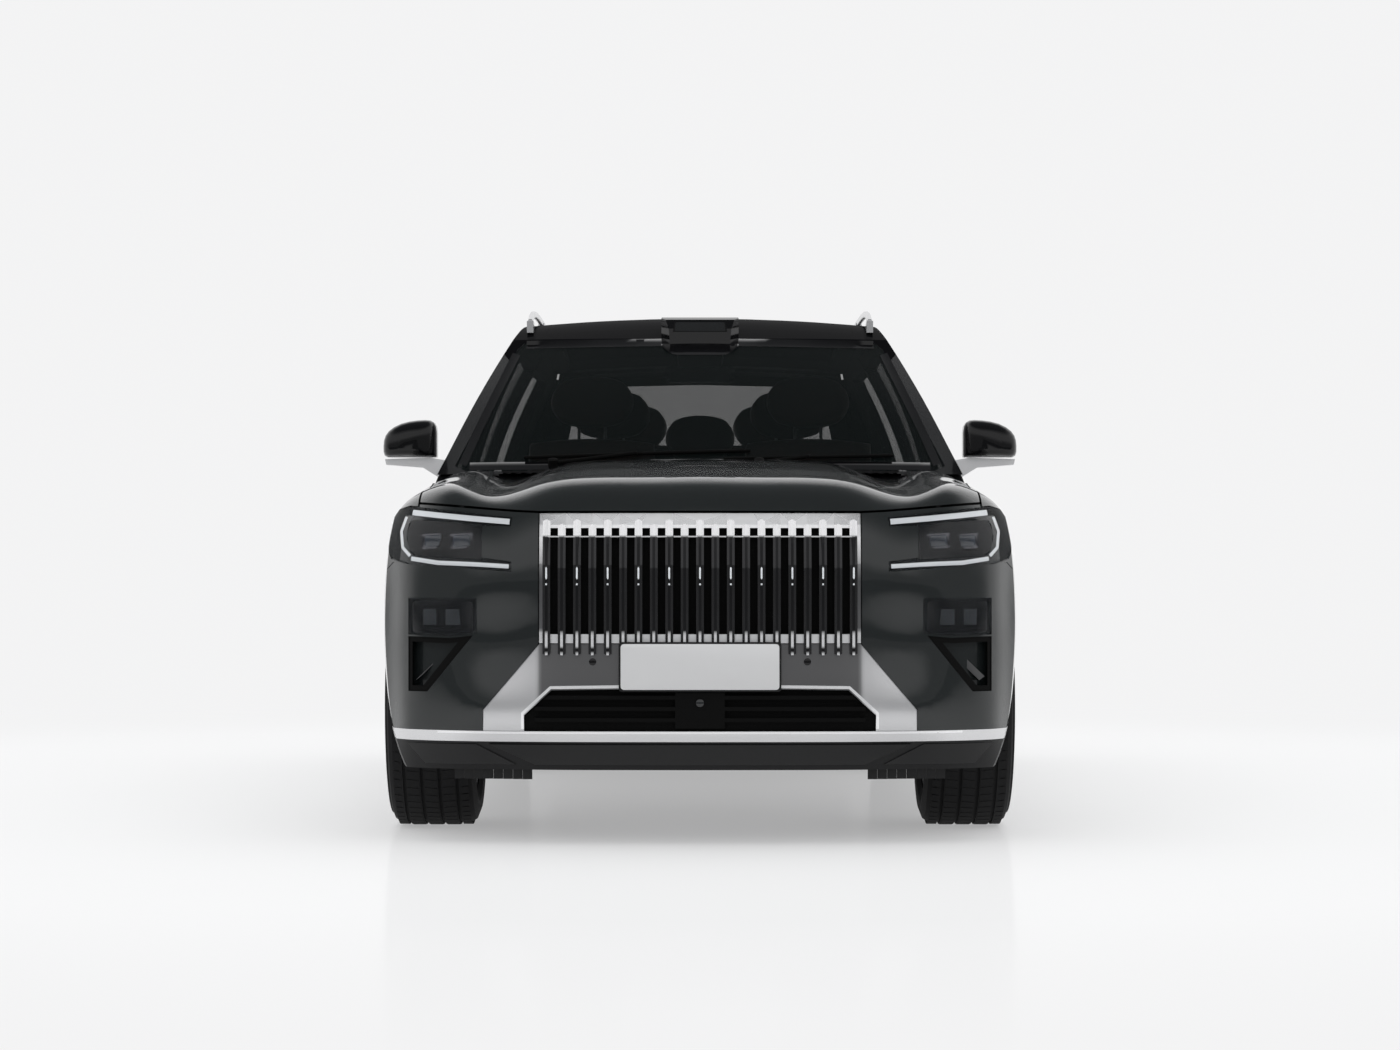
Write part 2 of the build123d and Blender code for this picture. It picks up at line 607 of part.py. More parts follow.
def door_mirror(m):
    """Mirror head on its arm, seated on the front door below the glass."""
    plan = [(908, -1000), (940, -1046), (1020, -1052), (1084, -1015), (1099, -955), (1094, -902), (916, -898)]
    face = [(900, 1224), (1040, 1217), (1094, 1232), (1100, 1296), (1070, 1343), (960, 1350), (905, 1325)]
    flank = [(-1052, 1236), (-1030, 1217), (-905, 1220), (-898, 1228), (-898, 1340), (-912, 1350), (-990, 1350),
             (-1040, 1318)]
    head = plan_prism(plan, 1200, 1360, radius=18) & front_prism(face, -1200, -800, radius=14)
    head = head & side_prism(flank, 850, 1150, radius=7)
    recess = front_prism([(930, 1240), (1078, 1240), (1080, 1328), (930, 1332)], -905, -890, radius=12)
    arm = front_prism([(848, 1152), (905, 1152), (960, 1186), (1086, 1196), (1090, 1212), (1040, 1224), (930, 1230),
                       (860, 1200)], -985, -925)
    head = head - recess
    return solids_of((head + arm) - m.house[0])


# --- tailgate ---
TAILGATE_EDGE = 2190.0
TAILGATE_AXIS = (TAILGATE_EDGE - 70, 1700.0)
TAILGATE_ROUND = 75.0
TAILGATE_GAP = 9.0
TAILGATE_INNER = 22.0  # inner part this far inside the skin's outline, to swing out past the pillars
TAILGATE_LOW = [(0, 648), (640, 648), (720, 712), (806, 800), (822, 880), (822, 1000), (742, BELT)]
TAILGATE_HIGH = [(0, BELT), (742, BELT), (655, 1500), (616, 1690), (612, 1850)]
REAR_WINDOW = [(0, 1185), (590, 1185), (622, 1215), (540, 1590), (505, 1628), (0, 1640)]
LAMP_BAND = (930.0, 1016.0)
OUTLET = [(430, 262), (640, 262), (655, 300), (640, 336), (445, 336)]
TAILGATE_HINGE_X = 470.0


def tailgate_low_room(grow=0.0):
    return front_prism(whole(TAILGATE_LOW), 2200, 2800, grow)


def tailgate_high_room(grow=0.0):
    return front_prism(whole(TAILGATE_HIGH), TAILGATE_AXIS[0] + 13, 2800, grow)


def tailgate(m):
    y, z = TAILGATE_AXIS
    low = layer(m.tub, 0, DOOR_LAP, tailgate_low_room())
    low = low + layer(m.tub, DOOR_LAP, DOOR_DEPTH, tailgate_low_room(-2 * TAILGATE_INNER))
    low = low - block(-560, 560, 2300, TAIL - 60, 720, 1060) - lamp_recess(m)
    high = layer(m.house, 0, DOOR_LAP, tailgate_high_room())
    high = high + layer(m.house, DOOR_LAP, FRAME_DEPTH, tailgate_high_room(-TAILGATE_INNER))
    high = high - across(y, z, TAILGATE_ROUND + 6.5, -1000, 1000) - block(-1000, 1000, 2000, y, 1500, 1900)
    high = high - front_prism(whole(REAR_WINDOW), 2250, 2800)
    body = low + high
    for side in (-1, 1):
        x = side * TAILGATE_HINGE_X
        arm = side_prism([(y - 5, z + 4), (y + 5, z + 4), (y + 9, z - 76), (y + 100, z - 84), (y + 180, z - 22),
                          (y + 215, z - 22), (y + 215, z - 44), (y + 110, z - 98), (y - 5, z - 90)], x - 6, x + 6)
        body = body + arm + across(y, z, KNUCKLE_RADIUS, x - 6, x + 6)
        body = body - across(y, z, PIN_RADIUS + 0.05, x - 9, x + 9)
    return solids_of(body)


def lamp_recess(m):
    return block(-1200, 1200, 2300, 2800, *LAMP_BAND) - m.tub[DOOR_LAP + SEAT]


def tailgate_glass(m):
    return solids_of(layer(m.house, 0, SKIN, front_prism(whole(REAR_WINDOW), 2250, 2800, grow=-0.4)))


def tail_lamp(m):
    room = block(-1200, 1200, 2300, 2800, LAMP_BAND[0] + 0.4, LAMP_BAND[1] - 0.4)
    return solids_of(layer(m.tub, 0, DOOR_LAP, room & tailgate_low_room()))


def side_tail_lamps(m):
    room = block(0, 1200, 2360, 2800, LAMP_BAND[0] + 0.4, LAMP_BAND[1] - 0.4) - tailgate_low_room(TAILGATE_GAP)
    return mirror_pair(solids_of(layer(m.tub, 0, DOOR_LAP, room)))


def rear_bumper(m):
    room = block(-1200, 1200, REAR_AXLE + ARCH_RADIUS - 40, 2800, BASE, 641)
    skin = layer(m.tub, 0, DOOR_LAP, room) - m.arches
    for side in (-1, 1):
        skin = skin - front_prism([(side * x, z) for x, z in OUTLET], 2400, 2800)
    return solids_of(skin)


# --- fixed glass and roof ---
COWL_FLOOR = 1165.0
SCREEN_OUTLINE = [(0, COWL_FLOOR + 1), (800, COWL_FLOOR + 1), (842, 1186), (664, 1625), (640, 1652), (0, 1672)]
ROOF_GLASS = [(0, -300), (560, -270), (560, 2030), (0, 2040)]
QUARTER = [(1232, 1160), (2150, 1160), (1985, 1600), (1950, 1636), (1232, 1642)]


def fixed_glass(m):
    screen = layer(m.house, 0, SKIN, front_prism(whole(SCREEN_OUTLINE), -1500, -250, grow=-0.4))
    quarter = layer(m.house, 0, SKIN, side_prism(QUARTER, grow=-0.4, radius=14))
    return Compound([solids_of(screen)] + list(mirror_pair(solids_of(quarter)).solids()))


def roof_glass(m):
    room = plan_prism(whole(ROOF_GLASS), 1500, 1900, grow=-0.4)
    return solids_of(layer(m.house, 0, SKIN, room))


# --- unibody ---
HOLLOW_X = 800.0
LINER = [(875, 0), (1300, 0), (1300, BELT), (800, BELT), (862, 1000), (878, 700)]
BAY_HALF = 440.0
LOAD_FLOOR = 720.0
LOAD_BOARD = 12.0      # raised board for luggage
LOAD_START = 2075.0
LOAD_END = 2480.0


def front_openings():
    """Outlines of everything set into the nose."""
    grille = front_prism([(-489, 606), (489, 606), (489, 1006), (-489, 1006)])
    lower = front_prism(whole(SURROUND[:3] + [(657, 344)]), grow=0.6)
    sides = None
    for outline in (HEADLAMP, CORNER_LAMP, CORNER_INTAKE):
        pair = cut_pair(front_prism(outline, grow=0.6))
        sides = pair if sides is None else sides + pair
    return grille + lower + sides


def tub_walls(m):
    """Outer skin where no door, bumper or cladding lies over it, and the structure below it."""
    doors = side_prism(door_outline(FRONT_DOOR_EDGE - 160, REAR_DOOR_END + GAP, BASE - 10, ARCH_CLEAR - GAP), 300, 1300)
    skin = m.tub[0] - cut_pair(doors) - block(-1200, 1200, REAR_AXLE + ARCH_RADIUS - 41, 2800, BASE - 1, 642)
    skin = skin - lamp_recess(m)
    return skin + m.tub[DOOR_LAP + SEAT]


def house_walls(m):
    """Pillars and roof frame under and between the window frames."""
    frames = side_prism(frame_outline(FRONT_DOOR_EDGE - 240, REAR_DOOR_END + GAP, -HEAD_GAP))
    return (m.house[0] - cut_pair(frames)) + m.house[DOOR_LAP]


def door_openings():
    """Room for the doors' inner parts and their hinges, left side."""
    front_pin = pin_place(FRONT_DOOR_EDGE)[1] - PILLAR_LEAD
    rear_pin = pin_place(REAR_DOOR_EDGE)[1] - PILLAR_LEAD
    front = side_prism(door_outline(FRONT_INNER[0], FRONT_INNER[1] + INNER_GAP, FLOOR_TOP), HOLLOW_X, 1300)
    rear = side_prism(door_outline(REAR_INNER[0], REAR_INNER[1] + INNER_GAP, FLOOR_TOP, ARCH_CLEAR + 4), HOLLOW_X, 1300)
    sill = block(896, 1300, front_pin, FRONT_INNER[1] + INNER_GAP, LAP_BASE - INNER_GAP, FLOOR_TOP + 1)
    rear_sill = door_outline(rear_pin, REAR_INNER[1] + INNER_GAP, LAP_BASE - INNER_GAP, ARCH_CLEAR + 4)
    rear_sill = side_prism(rear_sill, 896, 1300)
    front_pocket = block(876, 1300, front_pin, FRONT_INNER[0] + 1, LAP_BASE - INNER_GAP, BELT)
    rear_pocket = block(890, 1300, rear_pin, REAR_INNER[0] + 1, LAP_BASE - INNER_GAP, 1040)
    high = side_prism(frame_outline(FRONT_INNER[0] - 40, FRONT_INNER[1] + INNER_GAP, -HEAD_GAP))
    high += side_prism(frame_outline(REAR_INNER[0] - INNER_GAP, REAR_INNER[1] + INNER_GAP, -HEAD_GAP))
    return front + rear + sill + rear_sill + front_pocket + rear_pocket + high


def cabin(m):
    """Hollow from the fire wall to the tailgate, below the belt."""
    low = m.tub[DOOR_DEPTH] & block(-1200, 1200, FRONT_DOOR_EDGE + 14, 2800, FLOOR_TOP, BELT + 1)
    top = WHEEL_RADIUS + ARCH_RADIUS + 20
    low = low - cut_pair(block(660, 1200, REAR_AXLE - ARCH_RADIUS - 20, REAR_AXLE + ARCH_RADIUS + 20, 0, top))
    low = low - block(-1200, 1200, 960, 1340, 0, 600) - block(-1200, 1200, 1340, 2800, 0, LOAD_FLOOR)
    liner = cut_pair(front_prism(LINER, -84, 100))
    foot = block(-870, 870, FIREWALL + 40, FRONT_DOOR_EDGE + 15, FLOOR_TOP, 1085)
    return [low - liner, foot]


def hollow_under():
    """Open underside between the sills, with room for the drive line and the rear axle."""
    middle = block(-780, 780, -1100, 961, BASE - 1, FLOOR_UNDER)
    rear = block(-640, 640, 960, 1400, BASE - 1, 540) + block(-640, 640, 1399, 2480, BASE - 1, LOAD_FLOOR - 60)
    bay = block(-BAY_HALF, BAY_HALF, -2420, FIREWALL - 30, BASE - 1, 1300)
    front_arms = block(430, 470, FRONT_AXLE - 60, FRONT_AXLE + 60, 560, 650)
    rear_arms = block(630, 700, REAR_AXLE - 130, REAR_AXLE + 130, BASE - 1, 600)
    return [middle, rear, bay, cut_pair(front_arms), cut_pair(rear_arms)]


def front_structure(m):
    """Wheel housings, cowl and crash block behind the nose panels."""
    form = m.clip[SKIN + SEAT] - bonnet_room(GAP)
    form = form - (front_openings() - m.clip[34].moved(Location((0, 13, 0))))
    form = form - block(-852, 852, BONNET_REAR - 10, FRONT_DOOR_EDGE + 10, COWL_FLOOR, 1400)
    slots = None
    for x in (-BONNET_HINGE_X, BONNET_HINGE_X):
        slot = block(x - 14, x + 14, BONNET_REAR - 1, BONNET_AXIS[0] + 16, BONNET_AXIS[1] - 60, 1300)
        slots = slot if slots is None else slots + slot
    return form - slots


def roof_flange(m):
    """Thin rear edge of the roof over the tailgate pins."""
    y, z = TAILGATE_AXIS
    room = block(-650, 650, y - 40, y + 90, 1500, 1900) & across(y, z, TAILGATE_ROUND, -1000, 1000)
    return layer(m.house, 0, SKIN, room)


def pin_set():
    """Fixed hinge pins with their plates, for doors, bonnet and tailgate."""
    parts = []
    for edge in (FRONT_DOOR_EDGE, REAR_DOOR_EDGE):
        x, y = pin_place(edge)
        for z in HINGE_HEIGHTS:
            plate = block(x - 40, x + 5, y - PILLAR_LEAD - 9, y + 5, z - LEAF_HEIGHT / 2, z - 1)
            pin = upright(x, y, PIN_RADIUS, z - LEAF_HEIGHT / 2, z + LEAF_HEIGHT / 2 + 1)
            parts += [plate, pin]
    for x, (y, z) in ((BONNET_HINGE_X, BONNET_AXIS), (TAILGATE_HINGE_X, TAILGATE_AXIS)):
        parts.append(across(y, z, PIN_RADIUS, x - 18, x + 18))
    y, z = TAILGATE_AXIS
    for low, high in ((-18, -8), (8, 18)):
        x = TAILGATE_HINGE_X
        parts.append(block(x + low, x + high, y - PILLAR_LEAD - 30, y + 6, z - 8, z + 8))
    shapes = parts[0]
    for part in parts[1:]:
        shapes = shapes + part
    return cut_pair(shapes)


def body_shell(m):
    """Floor, sills, pillars, roof frame, rear quarters and the front structure."""
    y = TAILGATE_AXIS[0]
    walls = tub_walls(m) + house_walls(m)
    walls = walls - m.house[FRAME_DEPTH]
    for room in cabin(m):
        walls = walls - room
    walls = walls - cut_pair(door_openings())
    walls = walls - front_prism(whole(SCREEN_OUTLINE), -1500, -250) - plan_prism(whole(ROOF_GLASS), 1500, 1900)
    walls = walls - cut_pair(side_prism(QUARTER, radius=14))
    threshold = block(-600, 600, 2150, LOAD_END, BASE, LOAD_FLOOR)
    walls = walls - (tailgate_low_room(TAILGATE_GAP) - threshold)
    walls = walls - front_prism(whole(TAILGATE_HIGH), y - PILLAR_LEAD, 2800, TAILGATE_GAP)
    front = front_structure(m) - cut_pair(door_openings())
    shell = walls + front
    for room in hollow_under() + [m.arches]:
        shell = shell - room
    foot = cabin(m)[1]
    shell = (shell - foot) + roof_flange(m) + pin_set()
    board = block(-545, 545, LOAD_START, LOAD_END - 12, LOAD_FLOOR - 1, LOAD_FLOOR + LOAD_BOARD)
    return solids_of(shell + board, 20000)


# --- wheels ---
TREAD_GROOVES = (-84.0, -28.0, 28.0, 84.0)
GROOVE_DEPTH = 8.0
SPOKE_COUNT = 10
BOLT_COUNT = 5
BOLT_PCD = 120.0
SPINDLE_RADIUS = 32.0
DISC_RADIUS = 190.0
HUB_X = WHEEL_X + 40   # mounting face of the hub


def turned(profile):
    """Revolve an (x, radius) outline round the wheel's own axis, along X."""
    face = Face(Wire.make_polygon([Vector(x, 0, r) for x, r in profile]))
    return Solid.revolve(face, 360, Axis.X)


def tyre():
    """Low-profile tyre with rounded shoulders and four ribs between the grooves."""
    half = TYRE_WIDTH / 2
    bore = RIM_RADIUS - 0.7
    flange = RIM_RADIUS + 12.3
    outline = [(-half + 34.3, bore), (-half + 28.3, flange), (-half + 17, flange), (-half + 4, RIM_RADIUS + 37),
               (-half, RIM_RADIUS + 65), (-half + 12, WHEEL_RADIUS - 18), (-half + 34, WHEEL_RADIUS - 4)]
    tread = []
    for groove in TREAD_GROOVES:
        floor = WHEEL_RADIUS - GROOVE_DEPTH
        tread += [(groove - 5, WHEEL_RADIUS), (groove - 4, floor), (groove + 4, floor), (groove + 5, WHEEL_RADIUS)]
    profile = outline + tread + [(-x, r) for x, r in reversed(outline)]
    return turned(profile)


def rim():
    """Deep wheel with ten tapered spokes, its brake disc and five bolt holes."""
    half = TYRE_WIDTH / 2
    barrel = turned([(-half + 20, RIM_RADIUS + 12), (-half + 28, RIM_RADIUS + 12), (-half + 34, RIM_RADIUS - 1),
                     (half - 34, RIM_RADIUS - 1), (half - 28, RIM_RADIUS + 12), (half - 20, RIM_RADIUS + 12),
                     (half - 18, RIM_RADIUS - 4), (half - 40, RIM_RADIUS - 16), (-half + 30, RIM_RADIUS - 14)])
    face_x = HUB_X - WHEEL_X
    hub = turned([(face_x, SPINDLE_RADIUS + 0.05), (face_x, 80), (face_x + 34, 76), (face_x + 46, 60),
                  (face_x + 46, SPINDLE_RADIUS + 0.05)])
    disc = turned([(face_x - 60, 70), (face_x - 60, DISC_RADIUS), (face_x - 28, DISC_RADIUS), (face_x - 28, 84),
                   (face_x + 1, 84), (face_x + 1, 58), (face_x - 50, 58), (face_x - 50, 70)])
    section = [(face_x + 6, 50), (face_x + 44, 56), (half - 22, RIM_RADIUS - 8), (half - 60, RIM_RADIUS - 12)]
    blade = side_blade(section)
    shape = barrel + hub + disc
    for index in range(SPOKE_COUNT):
        shape = shape + Rot(360 * index / SPOKE_COUNT, 0, 0) * blade
    for index in range(BOLT_COUNT):
        angle = 2 * math.pi * index / BOLT_COUNT
        hole = across(BOLT_PCD / 2 * math.sin(angle), BOLT_PCD / 2 * math.cos(angle), 7, face_x - 1, face_x + 60)
        shape = shape - hole
    return solids_of(shape)


def side_blade(section):
    """One spoke: a tapered pair of ribs from the hub to the rim."""
    lower = prism([(x, -17, r) for x, r in section], (0, 34, 0))
    taper = prism([(section[0][0] - 50, -20, 40), (section[0][0] - 50, 20, 40), (section[0][0] - 50, 11, RIM_RADIUS + 20),
                   (section[0][0] - 50, -11, RIM_RADIUS + 20)], (260, 0, 0))
    return lower & taper


def placed_wheel(shape, axle, side):
    """A left-hand wheel part set on its axle; side is 1 on the left and -1 on the right."""
    moved = Pos(WHEEL_X, axle, WHEEL_RADIUS) * shape
    return moved if side > 0 else moved.mirror(Plane.YZ)


# --- suspension ---
def knuckle():
    """Left steering knuckle: spindle, upright with its pin, and brake caliper."""
    z = WHEEL_RADIUS
    y = FRONT_AXLE
    spindle = across(y, z, SPINDLE_RADIUS, KINGPIN_X - 30, HUB_X + 40)
    flange = across(y, z, 52, KINGPIN_X - 30, HUB_X - 55)
    upright_arm = block(KINGPIN_X - 28, KINGPIN_X + 28, y - 32, y + 32, 226, 590)
    lower_pin = upright(KINGPIN_X, y, 15, 180, 228)
    upper_pin = upright(KINGPIN_X, y, 12, 588, 616)
    caliper = cylinder_sector(y, z, 132, DISC_RADIUS + 22, HUB_X - 118, HUB_X - 66)
    cheek = cylinder_sector(y, z, DISC_RADIUS + 6, DISC_RADIUS + 22, HUB_X - 70, HUB_X - 20)
    strap = block(KINGPIN_X - 20, HUB_X - 70, y + 26, y + 150, z - 22, z + 22)
    shape = spindle + flange + upright_arm + lower_pin + upper_pin + caliper + cheek + strap
    return solids_of(shape)


def cylinder_sector(y, z, inner, outer, x0, x1, half_height=78):
    """Part of a ring behind the axle, for a brake caliper."""
    ring = across(y, z, outer, x0, x1) - across(y, z, inner, x0 - 1, x1 + 1)
    return ring & block(x0, x1, y + 60, y + outer + 5, z - half_height, z + half_height)


def front_subframe():
    """Cradle with lower and upper arms whose ends hold the knuckle pins."""
    y = FRONT_AXLE
    plan = [(-330, y - 190), (330, y - 190), (380, y + 40), (380, y + 230), (-380, y + 230), (-380, y + 40)]
    cradle = plan_prism(plan, 255, 300)
    cradle = cradle - plan_prism([(-200, y - 110), (200, y - 110), (250, y + 150), (-250, y + 150)], 200, 400)
    plan = [(340, y + 190), (340, y - 60), (730, y - 26), (790, y - 26), (790, y + 26), (735, y + 26), (420, y + 190)]
    low_arm = plan_prism(plan, 186, 216)
    low_arm += block(330, 380, y - 60, y + 190, 186, 262)
    low_arm = low_arm - upright(KINGPIN_X, y, 15.05, 100, 300)
    tower = block(400, BAY_HALF - 0.3, y - 50, y + 50, 290, 640)
    plan = [(400, y + 50), (400, y - 50), (740, y - 22), (784, y - 22), (784, y + 22), (740, y + 22)]
    high_arm = plan_prism(plan, 596, 614)
    high_arm = high_arm - upright(KINGPIN_X, y, 12.05, 500, 700)
    bridge = block(360, BAY_HALF - 0.3, y - 50, y + 50, 262, 300)
    return solids_of(cradle + cut_pair(low_arm + tower + high_arm + bridge))


def rear_subframe():
    """Cradle, arms, fixed uprights with their spindles, and springs."""
    y = REAR_AXLE
    z = WHEEL_RADIUS
    cradle = block(-420, 420, y - 230, y + 230, 330, 380) - block(-260, 260, y - 150, y + 150, 300, 400)
    arm = plan_prism([(380, y - 120), (380, y + 120), (770, y + 40), (770, y - 40)], 232, 262)
    rise = block(372, 420, y - 120, y + 120, 232, 335)
    post = block(732, 788, y - 40, y + 40, 232, 560)
    spindle = across(y, z, SPINDLE_RADIUS, 740, HUB_X + 40)
    flange = across(y, z, 52, 740, HUB_X - 55)
    caliper = cylinder_sector(y, z, 132, DISC_RADIUS + 22, HUB_X - 118, HUB_X - 66)
    strap = block(760, HUB_X - 70, y + 26, y + 150, z - 22, z + 22)
    high_arm = plan_prism([(400, y - 60), (400, y + 60), (780, y + 30), (780, y - 30)], 520, 545)
    mount = block(380, 432, y - 60, y + 60, 375, LOAD_FLOOR - 60.3)
    left = arm + rise + post + spindle + flange + caliper + strap + high_arm + mount
    return solids_of(cradle + cut_pair(left))


def powertrain_blocks():
    """Engine with gearbox as one block, and the drive line's tank and exhaust boxes."""
    engine = block(-300, 300, -2330, -1280, 300.3, 900)
    battery = block(-620, 620, -900, 700, 236, FLOOR_UNDER - 0.3)
    return Compound([engine, battery])


# --- cabin fittings ---
WHEEL_CENTRE = Vector(370, -668, 1034)
COLUMN_TILT = 68.0     # steering wheel axis, degrees from upright
GRIP_RADIUS = 180.0
COLUMN_LENGTH = 150.0
SHAFT_RADIUS = 10.0


def wheel_place():
    """Steering wheel centre, its own +Z along the column towards the driver."""
    return Location(WHEEL_CENTRE, (-COLUMN_TILT, 0, 0))


def wheel_axis_cylinder(radius, low, high):
    """Cylinder on the steering axis, between two distances from the wheel's centre."""
    return (Pos(0, 0, (low + high) / 2) * Cylinder(radius, high - low)).moved(wheel_place())


def dashboard():
    """Dash with its screen shelf, and the centre console."""
    section = [(-1120, 760), (-1130, 1070), (-1040, 1078), (-960, 1124), (-780, 1090), (-715, 1020), (-725, 945),
               (-860, 860), (-900, 700)]
    dash = side_prism(section, -770, 770)
    console = [(-905, 400.6), (-905, 820), (-700, 790), (-560, 700), (-120, 690), (-60, 640), (-60, 400.6)]
    console = side_prism(console, -130, 130)
    screen = side_prism([(-800, 1060), (-790, 1195), (-776, 1195), (-776, 1060)], -330, 560)
    column = wheel_axis_cylinder(30, -COLUMN_LENGTH - 26, -26)
    shaft = wheel_axis_cylinder(SHAFT_RADIUS, -40, 12)
    return solids_of(dash + console + screen + column + shaft)


def steering_wheel():
    ring = Torus(GRIP_RADIUS, 15)
    boss = Cylinder(58, 40)
    spokes = Box(2 * GRIP_RADIUS, 30, 12) + Pos(0, -GRIP_RADIUS / 2, 0) * Box(30, GRIP_RADIUS, 12)
    bore = Cylinder(SHAFT_RADIUS + 0.05, 34)
    return solids_of(((ring + boss + spokes) - Pos(0, 0, -4) * bore).moved(wheel_place()))


def seat(x, y, width, back_lean=14.0, height=400.6, back=640, rise=210):
    """Cushion, backrest and headrest of one seat, joined by its frame."""
    half = width / 2
    base = block(x - half + 40, x + half - 40, y - 190, y + 220, height, height + rise)
    height = height + rise - 190
    pad = side_prism([(y - 270, height + 187), (y - 275, height + 300), (y - 230, height + 330), (y + 200, height + 295),
                      (y + 270, height + 290), (y + 270, height + 182)], x - half, x + half)
    lean = math.tan(math.radians(back_lean))
    foot = (y + 190, height + 270)
    top = (foot[0] + back * lean, foot[1] + back)
    rest = side_prism([foot, (foot[0] + 120, foot[1] - 20), (top[0] + 95, top[1] - 20), (top[0] + 60, top[1]),
                       (top[0] - 10, top[1] - 10)], x - half + 6, x + half - 6)
    shape = base + pad + rest
    post = side_prism([(top[0] + 30, top[1] - 20), (top[0] + 38, top[1] + 60), (top[0] + 54, top[1] + 60),
                       (top[0] + 46, top[1] - 20)], x - 60, x + 60)
    head = side_prism([(top[0] - 20, top[1] + 45), (top[0] - 5, top[1] + 200), (top[0] + 70, top[1] + 205),
                       (top[0] + 85, top[1] + 50)], x - 150, x + 150)
    return shape + post + head


FRONT_SEAT_X = 410.0
FRONT_SEAT_Y = -190.0


def front_seats():
    return mirror_pair(seat(FRONT_SEAT_X, FRONT_SEAT_Y, 520, back=580, rise=190))


def rear_seats():
    second = seat(360, 720, 560, back=560)
    third = seat(300, 1560, 500, 20, LOAD_FLOOR + 0.6, back=420, rise=70)
    bench = mirror_pair(second)
    back_row = mirror_pair(third)
    return Compound(list(bench.solids()) + list(back_row.solids()))


# --- details on the roof ---
def sensor_pod(m):
    """Sensor housing on the leading edge of the roof."""
    section = [(-475, 1640), (-466, 1700), (-446, 1734), (-400, 1745), (-250, 1752), (-20, 1765), (-20, 1600)]
    body = side_prism(section, -140, 140)
    body = body & plan_prism([(-105, -480), (105, -480), (140, -420), (112, -20), (-112, -20), (-140, -420)], 1500, 1900)
    window = front_prism([(-98, 1688), (98, 1688), (92, 1728), (-92, 1728)], -520, -452)
    body = body - window
    return solids_of(body - m.house[0])


def write(name, shape):
    export_step(shape, os.path.join("parts", name + ".step"))


def side_name(name, side):
    return name + ("_left" if side > 0 else "_right")


def main():
    os.makedirs("parts", exist_ok=True)
    m = Masters()
    nodes = {
        "body_shell": body_shell(m),
        "roof_glass": roof_glass(m),
        "fixed_glass": fixed_glass(m),
        "front_fenders": front_fenders(m),
        "front_bumper": front_bumper(m),
        "lower_cladding": lower_cladding(m),
        "bright_trim": bright_trim(m),
        "grille_surround": grille_surround(m),
        "grille_bars": grille_bars(m),
        "intake_grille": intake_grille(m),
        "front_lamps": front_lamps(m),
        "side_tail_lamps": side_tail_lamps(m),
        "sensor_pod": sensor_pod(m),
        "rear_bumper": rear_bumper(m),
        "powertrain_blocks": powertrain_blocks(),
        "front_subframe": front_subframe(),
        "rear_subframe": rear_subframe(),
        "dashboard": dashboard(),
        "front_seats": front_seats(),
        "rear_seats": rear_seats(),
        "bonnet": bonnet(m),
        "tailgate": tailgate(m),
        "tailgate_glass": tailgate_glass(m),
        "tail_lamp": tail_lamp(m),
        "steering_wheel": steering_wheel(),
    }
    wheel = {"tyre": tyre(), "rim": rim()}
    left = {
        "door_front": door(m, *FRONT_DOOR),
        "door_rear": door(m, *REAR_DOOR, follow=ARCH_CLEAR),
        "door_front_glass": door_glass(m, *FRONT_DOOR),
        "door_rear_glass": door_glass(m, *REAR_DOOR),
        "mirror": door_mirror(m),
        "knuckle": knuckle(),
    }
    for side in (1, -1):
        for name, shape in left.items():
            nodes[side_name(name, side)] = shape if side > 0 else shape.mirror(Plane.YZ)
        for name, shape in wheel.items():
            nodes[side_name(name + "_front", side)] = placed_wheel(shape, FRONT_AXLE, side)
            nodes[side_name(name + "_rear", side)] = placed_wheel(shape, REAR_AXLE, side)
    for name, shape in nodes.items():
        write(name, shape)


if __name__ == "__main__":
    main()
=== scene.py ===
"""Finishes, fittings and small pieces of a large crossover, built round its CAD frame.

Metres. +Z is up, the nose points along -Y and +X is the car's left side.
"""
import math

import bpy
import bmesh
from bpy.props import FloatProperty, FloatVectorProperty, IntProperty, PointerProperty
from mathutils import Matrix, Vector
from mathutils.bvhtree import BVHTree
from mathutils.geometry import delaunay_2d_cdt


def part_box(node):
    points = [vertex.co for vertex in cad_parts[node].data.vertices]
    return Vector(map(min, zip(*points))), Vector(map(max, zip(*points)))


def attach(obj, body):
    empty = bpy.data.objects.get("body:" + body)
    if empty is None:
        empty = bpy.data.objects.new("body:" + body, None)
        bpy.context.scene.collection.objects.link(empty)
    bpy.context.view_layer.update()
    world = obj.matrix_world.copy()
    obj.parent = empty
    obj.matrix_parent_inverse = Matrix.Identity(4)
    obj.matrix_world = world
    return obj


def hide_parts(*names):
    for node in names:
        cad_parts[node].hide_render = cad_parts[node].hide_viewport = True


bl_info = {
    "name": "Large crossover fittings",
    "version": (1, 0, 0),
    "blender": (4, 5, 0),
    "location": "View3D > Sidebar > Crossover",
    "description": "Finishes and fittings for a large crossover",
    "category": "Object",
}

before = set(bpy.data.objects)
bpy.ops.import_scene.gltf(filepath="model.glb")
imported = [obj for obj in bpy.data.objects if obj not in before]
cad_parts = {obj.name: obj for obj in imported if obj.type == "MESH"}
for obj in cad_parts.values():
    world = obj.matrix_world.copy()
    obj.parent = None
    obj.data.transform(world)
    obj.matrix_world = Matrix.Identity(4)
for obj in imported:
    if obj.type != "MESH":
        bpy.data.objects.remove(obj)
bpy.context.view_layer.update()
SIDES = (("left", 1), ("right", -1))


# --- sizes and colours a user may change ---
def colour(name, description, value):
    """A colour property with its default."""
    return FloatVectorProperty(name=name, description=description, subtype="COLOR", size=3, min=0, max=1, default=value)


def length(name, description, value):
    """A size property in metres."""
    return FloatProperty(name=name, description=description, default=value, min=0, unit="LENGTH")


